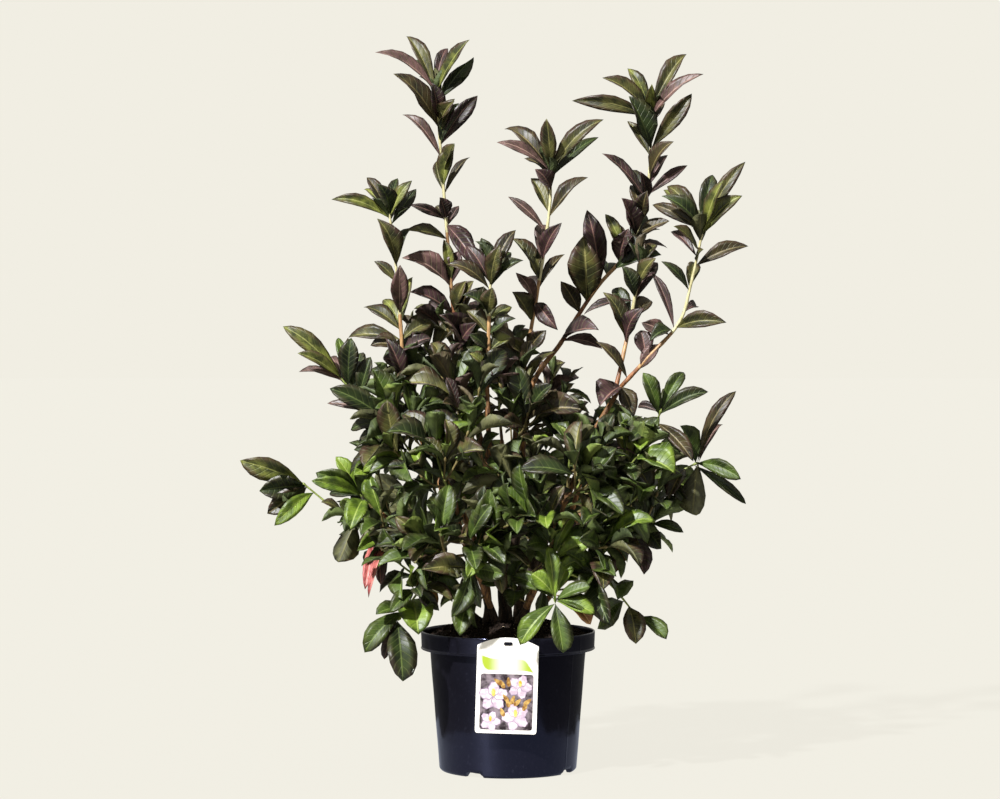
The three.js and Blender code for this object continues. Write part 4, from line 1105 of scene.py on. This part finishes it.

# Leaves that stand out, set one by one: for each mass and tint, the share of the mass's twig at which a leaf
# grows, its tip's x, y and z, its width as a part of its length and, where it is rolled, the degrees. A
# calculation worked these rows out from the leaves' ends and widths, which were read one by one.
# A row's tint is partly painted light and shade: the fresh and lime tints go to leaves that the sun lights or
# shines through, and deep to leaves that lie in shadow.
SINGLE_LEAVES = {
    "shoot_tallest": {
        "wine": [
            (0.89, -100, -10, 905, 0.3), (1, -80, 50, 955, 0.17), (0.78, -40, 20, 890, 0.22, 30),
            (0.48, -130, 0, 745, 0.19, -30), (0.45, -65, 35, 745, 0.25), (0.46, -45, 0, 680, 0.34, 20),
            (0.21, -65, 20, 685, 0.39), (0.46, -35, -20, 655, 0.22, 10), (0.48, -90, 0, 755, 0.44),
            (0.12, -130, 0, 630, 0.32), (0.02, -90, -40, 600, 0.37), (0, -40, -30, 590, 0.29),
        ],
        "lime_sunlit": [(0.61, -70, 10, 825, 0.29), (1, -50, -20, 960, 0.2), (0.22, -85, 15, 700, 0.21)],
        "deep_shaded": [(0.78, -65, 20, 880, 0.28), (0.95, -45, 10, 940, 0.21, 20), (0.98, -125, 60, 940, 0.16)],
        "olive": [
            (0.83, -70, 10, 885, 0.34), (1, -135, 40, 970, 0.18), (0.86, -70, -15, 880, 0.31),
            (0.67, -70, -10, 825, 0.32), (0.59, -95, 50, 805, 0.17), (0.4, -135, -25, 710, 0.2, -20),
            (0.13, -55, 0, 645, 0.35), (0.12, -45, 0, 645, 0.36),
        ],
        "rose": [(1, -175, 0, 945, 0.15), (0.73, -140, 25, 865, 0.16), (0.2, -140, 0, 675, 0.3)],
        "bronze": [(0.85, -150, -25, 915, 0.28), (0.58, -50, 45, 810, 0.14), (0.47, -95, 30, 745, 0.5)],
    },
    "shoot_bronze": {
        "olive": [
            (1, 125, 40, 915, 0.21), (0.98, 85, 45, 885, 0.16, -30), (1, 240, 80, 950, 0.18, 10),
            (0.86, 245, 50, 895, 0.2, 20), (0.83, 160, 75, 860, 0.2), (0.14, 100, 25, 705, 0.39),
            (0.41, 140, 60, 725, 0.33),
        ],
        "lime_sunlit": [(1, 160, 70, 930, 0.22), (0.99, 190, 15, 905, 0.2), (0.41, 130, 60, 735, 0.22)],
        "rose": [(0.98, 260, 40, 920, 0.17), (0, 125, 20, 555, 0.25)],
        "deep_shaded": [
            (0.86, 160, 30, 890, 0.36), (0.42, 205, 85, 715, 0.18), (0.31, 205, 50, 680, 0.33, 10),
            (0.27, 135, 90, 670, 0.46), (0.67, 160, 90, 795, 0.31), (0.47, 185, 80, 735, 0.36),
        ],
        "bronze": [
            (0.76, 220, 30, 830, 0.29), (0.61, 165, 85, 775, 0.28), (0.1, 70, 30, 645, 0.33, -20),
            (0.51, 215, 40, 725, 0.3), (0.59, 185, 30, 765, 0.35),
        ],
        "wine": [
            (0.72, 215, 80, 815, 0.24), (0.68, 125, 45, 815, 0.19), (0.69, 240, 60, 800, 0.16, 20),
            (0.66, 175, 20, 790, 0.22), (0.52, 155, 30, 750, 0.37), (0.23, 105, 40, 740, 0.24),
            (0.36, 160, 35, 715, 0.46), (0.35, 215, 90, 690, 0.13), (0, 120, 0, 580, 0.35),
            (0.36, 165, 30, 705, 0.45), (0.53, 150, 20, 755, 0.3),
        ],
    },
    "shoot_right": {
        "lime_sunlit": [(1, 205, 10, 765, 0.25), (1, 280, -60, 775, 0.2), (0.97, 305, -45, 755, 0.26)],
        "olive": [
            (1, 310, -30, 800, 0.15, 10), (1, 210, 10, 770, 0.22), (0.91, 215, -50, 715, 0.29),
            (0.86, 255, -40, 685, 0.36), (0.72, 245, 10, 670, 0.33), (0.46, 285, -40, 590, 0.26, 30),
        ],
        "deep_shaded": [
            (1, 270, 10, 785, 0.22), (1, 200, -35, 755, 0.23, -10), (0.71, 200, -30, 670, 0.19, -10),
            (0.44, 185, -30, 565, 0.39),
        ],
        "bronze": [
            (1, 190, 0, 745, 0.19, -20), (0.84, 315, -20, 690, 0.22, 25), (0.06, 115, -20, 565, 0.18),
            (0, 165, -20, 465, 0.42),
        ],
        "wine": [
            (0.88, 215, 20, 710, 0.2), (0.57, 250, 20, 610, 0.28), (0.45, 190, 10, 655, 0.13),
            (0, 120, -30, 480, 0.6), (0.23, 175, 0, 580, 0.51),
        ],
        "rose": [(0.41, 175, -20, 590, 0.39), (0.35, 175, -10, 530, 0.38)],
    },
    "shoot_middle": {
        "olive": [
            (1, 50, -50, 855, 0.24), (0.98, 125, -30, 855, 0.19, 20), (0.7, 30, 0, 780, 0.29),
            (0.43, 5, -30, 700, 0.31), (0.28, 5, -40, 630, 0.39), (0.14, -5, -30, 570, 0.35),
        ],
        "deep_shaded": [(1, 60, 30, 835, 0.14), (0.93, 120, 20, 835, 0.13, 10)],
        "bronze": [
            (1, -5, 10, 845, 0.22), (0.68, 105, -20, 780, 0.22), (0.39, 75, 5, 680, 0.16),
            (0.16, 50, -30, 580, 0.42),
        ],
        "rose": [
            (0.99, -15, -35, 825, 0.16), (0.62, 0, -15, 755, 0.15, -20), (0.49, 45, 25, 720, 0.27),
            (0.34, 10, -50, 655, 0.23),
        ],
        "wine": [
            (0.83, 35, -40, 790, 0.45), (0.5, 70, -45, 720, 0.26), (0.36, 25, 20, 650, 0.38),
            (0.35, 65, -45, 580, 0.32, 30),
        ],
    },
    "shoot_left": {
        "lime_sunlit": [
            (0.96, -230, -45, 750, 0.17, -15), (0.96, -190, 0, 765, 0.12), (0.97, -125, -40, 775, 0.24),
            (0.36, -125, -10, 650, 0.19), (0.35, -165, 10, 620, 0.22),
        ],
        "bronze": [(0.99, -185, -20, 780, 0.23), (0.23, -180, -30, 560, 0.46)],
        "deep_shaded": [
            (0.98, -170, -70, 770, 0.33), (0.99, -145, 0, 780, 0.2), (0.93, -120, -20, 765, 0.22, 10),
            (0.74, -125, -10, 715, 0.21),
        ],
        "olive": [
            (0.72, -170, -60, 725, 0.28), (0.62, -175, -30, 670, 0.27), (0.33, -190, -10, 610, 0.28),
            (0.28, -210, -10, 570, 0.24, -10), (0.28, -100, -10, 590, 0.43),
        ],
        "rose": [(0.43, -140, -65, 665, 0.26)],
        "wine": [(0.05, -160, -45, 570, 0.26), (0.33, -175, 30, 610, 0.25), (0.22, -100, -30, 570, 0.43)],
    },
    "spray_left_high": {
        "lime_sunlit": [(0.82, -295, -20, 585, 0.18, -20), (0.83, -275, -35, 550, 0.19, -20)],
        "rose": [(0.8, -275, -10, 525, 0.2), (0.83, -235, 25, 545, 0.23)],
        "fresh_sunlit": [(0.77, -225, 20, 570, 0.15)],
        "deep_shaded": [
            (0.76, -205, -30, 570, 0.32), (0.7, -195, 30, 550, 0.29), (0.66, -230, 40, 525, 0.26),
            (0.65, -180, -20, 545, 0.3), (0.7, -205, 10, 540, 0.41),
        ],
        "bronze": [(0.81, -210, -20, 570, 0.22)],
    },
    "spray_left_mid": {
        "deep_shaded": [
            (0.93, -230, -90, 505, 0.24, -20), (0.93, -205, -50, 450, 0.26),
            (0.63, -200, -70, 425, 0.21, -10),
        ],
        "rose": [(1, -235, -60, 485, 0.14)],
        "mid": [(0.92, -175, -80, 530, 0.33), (0.79, -195, -40, 435, 0.26, -10)],
        "fresh_sunlit": [(0.54, -190, -70, 395, 0.22, -10)],
    },
    "spray_left_far": {
        "lime_sunlit": [(0.97, -350, -40, 410, 0.27, -40)],
        "deep_shaded": [(0.95, -325, -40, 370, 0.41, -50)],
        "bronze": [(0.94, -315, -35, 340, 0.37, -50)],
        "fresh_sunlit": [(0.87, -305, -45, 325, 0.24, -30)],
        "olive": [(0.58, -245, -30, 355, 0.32)],
    },
    "spray_left_out": {
        "mid": [(0.65, -250, -60, 395, 0.33, -30), (0.63, -175, -60, 400, 0.38)],
        "fresh_sunlit": [
            (0.66, -225, -40, 415, 0.27, -10), (0.64, -255, -70, 385, 0.21, -30),
            (0.58, -205, -80, 320, 0.39),
        ],
        "deep_shaded": [(0.66, -210, 0, 405, 0.31), (0.61, -235, -10, 365, 0.3)],
    },
    "spray_left_low": {
        "olive": [(0.98, -220, -80, 280, 0.42, 180)],
        "fresh_sunlit": [(0.65, -195, -90, 295, 0.27, -30)],
        "red": [(0.69, -185, -85, 245, 0.15), (0.53, -180, -95, 235, 0.09)],
        "wine": [(0.67, -165, -75, 250, 0.23)],
    },
    "spray_right_high": {
        "mid": [(0.9, 175, -60, 525, 0.3), (0.94, 230, -30, 525, 0.24)],
        "deep_shaded": [(0.91, 260, -60, 500, 0.23, 20), (0.8, 155, -90, 435, 0.31, -10), (0.87, 215, 0, 500, 0.24)],
        "wine": [(0.93, 170, -30, 480, 0.31)],
        "bronze": [(0.8, 240, -70, 410, 0.22, 20)],
        "fresh_sunlit": [(0, 145, -80, 460, 0.16), (0.25, 170, -95, 425, 0.37)],
    },
    "spray_right_out": {
        "bronze": [(0.98, 300, -10, 500, 0.14), (0.84, 210, -40, 360, 0.31)],
        "rose": [(1, 285, 20, 455, 0.19)],
        "mid": [(0.96, 225, -30, 455, 0.35), (0.96, 305, -30, 385, 0.26, 30), (0.46, 170, -60, 355, 0.32)],
        "deep_shaded": [(0.93, 315, 10, 350, 0.13, 20), (0.57, 240, -20, 345, 0.2, 20)],
        "olive": [(0.99, 240, -50, 340, 0.35, 180)],
    },
    "spray_right_low": {
        "wine": [(0.31, 175, -95, 265, 0.3)],
        "dry": [(0.32, 140, -60, 265, 0.25)],
        "deep_shaded": [(0.67, 200, -50, 295, 0.42, 20)],
        "mid": [(0.86, 230, -30, 315, 0.25, 20)],
    },
    "spray_left_hang": {
        "mid": [(0.88, -185, -100, 165, 0.29), (0.86, -170, -110, 215, 0.31), (0.5, -130, -80, 290, 0.38)],
        "wine": [(1, -160, -90, 155, 0.22)],
        "deep_shaded": [(1, -135, -120, 130, 0.39)],
        "fresh_sunlit": [(0.74, -115, -120, 190, 0.51), (0.6, -90, -90, 270, 0.42)],
        "dry": [(0.45, -105, -75, 215, 0.42)],
    },
    "spray_front_hang": {
        "fresh_sunlit": [
            (0.92, 30, -140, 270, 0.53), (0.91, 80, -120, 285, 0.37), (0.97, 110, -155, 220, 0.33, 10),
            (0.4, 85, -110, 345, 0.23), (0.68, 100, -120, 285, 0.42), (0.45, 105, -130, 310, 0.32),
            (1, 15, -150, 180, 0.31), (1, 50, -140, 305, 0.22),
        ],
        "mid": [
            (0.96, 105, -150, 255, 0.33, 10), (0.96, 5, -120, 265, 0.29), (0.61, 35, -120, 300, 0.53),
            (1, 70, -150, 170, 0.36), (0.95, 110, -145, 220, 0.42),
        ],
        "dry": [(0.9, 105, -140, 205, 0.34)],
    },
    "spray_right_hang": {
        "mid": [(0.83, 115, -95, 195, 0.36), (1, 205, -80, 180, 0.36), (0.68, 140, -120, 235, 0.42)],
        "olive": [(0.88, 165, -90, 175, 0.42)],
    },
    "spray_front_out": {
        "lime_sunlit": [(0.14, 85, -140, 345, 0.24)],
    },
    "spray_right_mid": {
        "lime_sunlit": [(0.89, 145, -60, 455, 0.37)],
        "fresh_sunlit": [(0.95, 215, -100, 395, 0.55)],
    },
    "spray_high_right": {
        "rose": [(0.8, 130, -60, 460, 0.3, 160)],
    },
    "shoot_short": {
        "bronze": [(0.78, -80, -85, 665, 0.26), (0.85, 10, -60, 710, 0.22)],
        "deep_shaded": [
            (0.89, -35, -50, 700, 0.25), (0.81, 20, -80, 670, 0.26), (0.42, -60, -90, 625, 0.44),
            (0.28, 10, -80, 595, 0.39), (0.19, -50, -90, 575, 0.43),
        ],
        "wine": [(0.85, -55, -60, 690, 0.26)],
        "olive": [(0.83, -10, -95, 690, 0.3), (0.46, -20, -95, 635, 0.45), (0.28, -55, -60, 605, 0.4)],
        "lime_sunlit": [(0.39, 5, -60, 610, 0.36), (0.18, 5, -50, 570, 0.42), (0.1, -50, -80, 550, 0.5)],
    },
    "shoot_right_low": {
        "olive": [(0.27, 125, 0, 630, 0.27), (0.68, 195, 0, 675, 0.36)],
        "wine": [(0.26, 180, -10, 610, 0.31), (0.53, 200, 50, 670, 0.28), (0.55, 100, 20, 600, 0.15)],
        "deep_shaded": [(0.58, 150, 10, 665, 0.38), (0.41, 140, 50, 635, 0.33)],
        "bronze": [(0.37, 190, 50, 620, 0.35)],
    },
}
FACING = np.array([0, -0.8, 0.6])  # the way that they face, up and to the front, before they are rolled
HAND_WIDTH = 1.15  # a folded blade is this much wider when it is spread flat


def single_leaf(twig, at, tip, width, roll=0):
    """A leaf that grows from a place on a twig to a given tip, in the form that leaves_of gives."""
    root = along(twig["path"], at)[0]
    span = tip - root
    direction = unit(span)
    face = facing(direction, FACING, np.radians(roll))
    length, taper = np.linalg.norm(span), 1.05 - 0.7 * twig["blunt"]
    return np.array([*root, *direction, *face, length, HAND_WIDTH * width, taper])


VEINS = 9  # pairs of side veins
VEIN_TINT = "8f9a58"
FLUSH_TINT = "3e2421"


def blade_finish(name, first, second, rib_tint, rib_share, roughness, depth, flush=0):
    """A leaf's skin: two tones in soft clouds, lighter side veins that run forward from the midrib, and a
    quilted relief between them. Veins are where sin(2 pi VEINS (along - 0.2 |across|)) is near 1. A brown
    flush comes in from the edges and the tip, as 0.7 |across| + 0.45 along + 0.9 blotches goes up to 1.4."""
    finish = Finish(name, {})
    point = finish.node("ShaderNodeSeparateXYZ", {}, {0: finish.node("ShaderNodeTexCoord", {}, {}, "UV")})
    split = point.socket.node
    across = (Signal(finish, split.outputs["X"]) * 2 - 1).size()
    forward = Signal(finish, split.outputs["Y"])
    vein = ((forward - across * 0.2) * (2 * np.pi * VEINS)).sine().rise(0.72, 1)
    cloud = finish.noise(finish.place(), 45, 4)
    fine = finish.noise(finish.place(), 600, 2)
    rib = 1 - across.rise(0.03, 0.1)
    tone = finish.blend(cloud.rise(0.38, 0.64), colour(first), colour(second))
    blotches = finish.noise(finish.place(), 90, 3)
    flushed = (across * 0.7 + forward * 0.45 + blotches * 0.9).rise(0.95, 1.4)
    tone = finish.blend(flushed * flush, tone, colour(FLUSH_TINT))
    tone = finish.blend(vein * 0.12, tone, colour(VEIN_TINT))
    finish.shade(
        Base_Color=finish.blend(rib * rib_share, tone, colour(rib_tint)),
        Roughness=roughness + cloud * 0.15 + fine * 0.1,
    )
    finish.relief(fine * 0.15 - vein * 0.8 + rib * 0.5, depth * MM)
    return finish


# How far each tint's upper skin is flushed with brown at its edges.
FLUSHED = {"deep_shaded": 0.35, "mid": 0.25, "fresh_sunlit": 0.1, "lime_sunlit": 0.7, "olive": 0.75, "bronze": 0.5}
# Each tint: two tones of its upper skin, its rib, and two tones of its underside.
# The two light yellow-green tints, fresh and lime, are partly painted light: they also stand for leaves that
# the key lights or shines through. The deep tint is partly painted shade, for leaves that lie in shadow.
TINTS = {
    "deep_shaded": ("141c0a", "2c3a17", "5c6a34", "30391f", "4a5630"),
    "mid": ("24300e", "455a1b", "6e7e3c", "3e4a26", "5e6c38"),
    "fresh_sunlit": ("3e5216", "748c2c", "98a454", "56682e", "869448"),
    "lime_sunlit": ("32361a", "7c8238", "98985c", "505630", "80844a"),
    "olive": ("2a2a16", "5a582b", "8c8650", "42422a", "646440"),
    "bronze": ("221d12", "453b21", "807249", "443a2a", "645840"),
    "wine": ("231718", "462e30", "866358", "443432", "644e48"),
    "rose": ("3e2d2a", "6c504c", "ab8c7e", "60504a", "867068"),
    "red": ("86343a", "c06c66", "d8a090", "984c50", "bc7c74"),
    "dry": ("7c5230", "b58a52", "c8a878", "8a6440", "b09068"),
}
GREEN_TINTS = ("deep_shaded", "mid", "fresh_sunlit", "lime_sunlit", "olive")
gathered = {tint: [] for tint in TINTS}
masses_of = {tint: set() for tint in TINTS}


def gather(leaf, tint, mass):
    """Puts a leaf with the others of its tint, and notes the mass that it belongs to."""
    gathered[tint].append(leaf)
    masses_of[tint].add(mass)


def grown_leaves(twig):
    """A twig's leaves by the rule, or only a shoot's heart or none where the rest are set one by one."""
    if not twig["by_hand"]:
        return leaves_of(twig)
    return leaves_of(twig | HEART) if twig["mass"] in SHOOTS else ((), ())


for twig in all_twigs:
    for leaf, tint in zip(*grown_leaves(twig)):
        gather(leaf, tint, twig["mass"])
for mass, tinted in SINGLE_LEAVES.items():
    for tint, rows in tinted.items():
        for at, x, y, z, width, *roll in rows:
            gather(single_leaf(main_twigs[mass], at, (x, y, z), width, *roll), tint, mass)

blade_fours, blade_threes = skin_faces(len(LEAF_STATIONS), len(ACROSS))
four_kinds = np.tile(ROUND_KINDS, len(LEAF_STATIONS) - 1)
three_kinds = np.tile(ROUND_KINDS, 2)
chance_of_leaves = np.random.default_rng(3)
for tint, (dark, light, rib, under_dark, under_light) in TINTS.items():
    leaves = np.array(gathered[tint])
    corners, surface = blades(leaves, chance_of_leaves)
    count = len(leaves)
    faces = [repeated(blade_fours, count, BLADE_CORNERS), repeated(blade_threes, count, BLADE_CORNERS)]
    green = tint in GREEN_TINTS
    rib_share = 0.35 if green else 0.55
    finishes = [
        blade_finish(f"{tint}_leaf", dark, light, rib, rib_share, 0.33, 0.5, FLUSHED.get(tint, 0)),
        blade_finish(f"{tint}_rib", light, rib, rib, rib_share, 0.4, 0.1),
        blade_finish(f"{tint}_underside", under_dark, under_light, rib, rib_share, 0.5, 0.35),
    ]
    kinds = [np.tile(four_kinds, count), np.tile(three_kinds, count)]
    nodes = sorted(masses_of[tint])
    new_piece(f"leaves_{tint}", nodes, corners * MM, faces, finishes, kinds, surface)

# ---------------------------------------------------------------- studio
# A pale cream floor and surroundings, one soft key light high at the front left, and a camera at the height
# of the plant's middle.

CREAM = tuple(colour("f1eee3"))
FLOOR_REACH = 30  # metres
FILL_LIGHT = 0.46  # the surroundings' light on the plant, as a part of their brightness
FLOOR_GLOW = 0.945  # the part of the floor's brightness that is its own, so that it stays even
KEY_STRENGTH = 7
KEY_SPREAD = 2.5  # degrees
KEY_TURN = (50, 0, -36)  # degrees
PANEL_SIZE = 0.86  # metres
PANEL_STRENGTH = 2.4
CAMERA_PLACE = (-0.0105, -4, 0.585)  # metres
CAMERA_DIP = 1.38  # degrees below the level
CAMERA_LENS = 109.26

world = bpy.data.worlds.new("studio")
world.use_nodes = True
sky = world.node_tree.nodes["Background"]
sky.inputs["Color"].default_value = CREAM
seen = world.node_tree.nodes.new("ShaderNodeLightPath").outputs["Is Camera Ray"]
strength = world.node_tree.nodes.new("ShaderNodeMapRange")
strength.inputs["To Min"].default_value = FILL_LIGHT
world.node_tree.links.new(seen, strength.inputs["Value"])
world.node_tree.links.new(strength.outputs["Result"], sky.inputs["Strength"])
bpy.context.scene.world = world


def stood(name, data, place=(0, 0, 0), turn=(0, 0, 0)):
    """A studio object at a place, turned by degrees round each axis."""
    thing = bpy.data.objects.new(name, data)
    thing.location = place
    thing.rotation_euler = [np.radians(angle) for angle in turn]
    bpy.context.collection.objects.link(thing)
    return thing


floor_finish = Finish("studio_floor", {"Roughness": 1, "Specular IOR Level": 0})
floor_finish.shade(Base_Color=(0.03, 0.03, 0.028, 1), Emission_Color=CREAM, Emission_Strength=FLOOR_GLOW)
floor_mesh = bpy.data.meshes.new("studio_floor")
floor_signs = [(-1, -1), (1, -1), (1, 1), (-1, 1)]
floor_mesh.from_pydata([(x * FLOOR_REACH, y * FLOOR_REACH, 0) for x, y in floor_signs], [], [(0, 1, 2, 3)])
floor_mesh.materials.append(floor_finish.material)
floor = stood("studio_floor", floor_mesh)
floor.visible_diffuse = False
floor.visible_glossy = False

key = bpy.data.lights.new("key", "SUN")
key.energy = KEY_STRENGTH
key.angle = np.radians(KEY_SPREAD)
stood("key", key, turn=KEY_TURN)

# A round soft panel lies on the floor round the pot and lifts the shadows from below.
panel = bpy.data.lights.new("floor_panel", "AREA")
panel.shape = "DISK"
panel.size = PANEL_SIZE
panel.energy = PANEL_STRENGTH
panel.color = (1, 0.92, 0.8)
stood("floor_panel", panel, (0, 0, 0.001), (180, 0, 0)).visible_glossy = False

# What the glossy pot mirrors of the ground: a bright patch round its foot, drawn in at both sides, and dark
# beyond. This card shows only as a reflection. Its patch has a reach, in metres, at each angle round from +X.
PATCH = {
    0: 0.29, 30: 0.29, 42: 0.44, 90: 0.5, 138: 0.44, 150: 0.29, 180: 0.29, 215: 0.29, 228: 0.42, 270: 0.46,
    312: 0.42, 325: 0.29, 360: 0.29,
}
CARD_REACH = 4
CARD_SIDES = 120
card_angles = np.linspace(0, 360, CARD_SIDES, endpoint=False)
card_way = np.column_stack([np.cos(np.radians(card_angles)), np.sin(np.radians(card_angles))])
patch_edge = card_way * np.interp(card_angles, list(PATCH), list(PATCH.values()))[:, None]
card_plan = np.vstack([[[0, 0]], patch_edge, card_way * CARD_REACH])
inside = np.arange(1, CARD_SIDES + 1)
following = inside % CARD_SIDES + 1
patch_faces = np.stack([inside * 0, inside, following], axis=-1)
dark_faces = np.stack([inside, inside + CARD_SIDES, following + CARD_SIDES, following], axis=-1)
card_mesh = bpy.data.meshes.new("ground_card")
card_corners = [(x, y, 0.0005) for x, y in card_plan.tolist()]
card_mesh.from_pydata(card_corners, [], patch_faces.tolist() + dark_faces.tolist())
for name, glow in (("patch_glow", 0.42), ("ground_dark", 0.02)):
    finish = Finish(name, {"Base Color": (0, 0, 0, 1)})
    finish.shade(Emission_Color=(0.72, 0.8, 1, 1), Emission_Strength=glow)
    card_mesh.materials.append(finish.material)
card_mesh.polygons.foreach_set("material_index", np.repeat([0, 1], CARD_SIDES))
ground_card = stood("ground_card", card_mesh)
ground_card.visible_camera = False
ground_card.visible_diffuse = False
ground_card.visible_shadow = False

camera = bpy.data.cameras.new("camera")
camera.lens = CAMERA_LENS
camera.sensor_width = 36
bpy.context.scene.camera = stood("camera", camera, CAMERA_PLACE, (90 - CAMERA_DIP, 0, 0))
bpy.context.scene.view_settings.view_transform = "Standard"
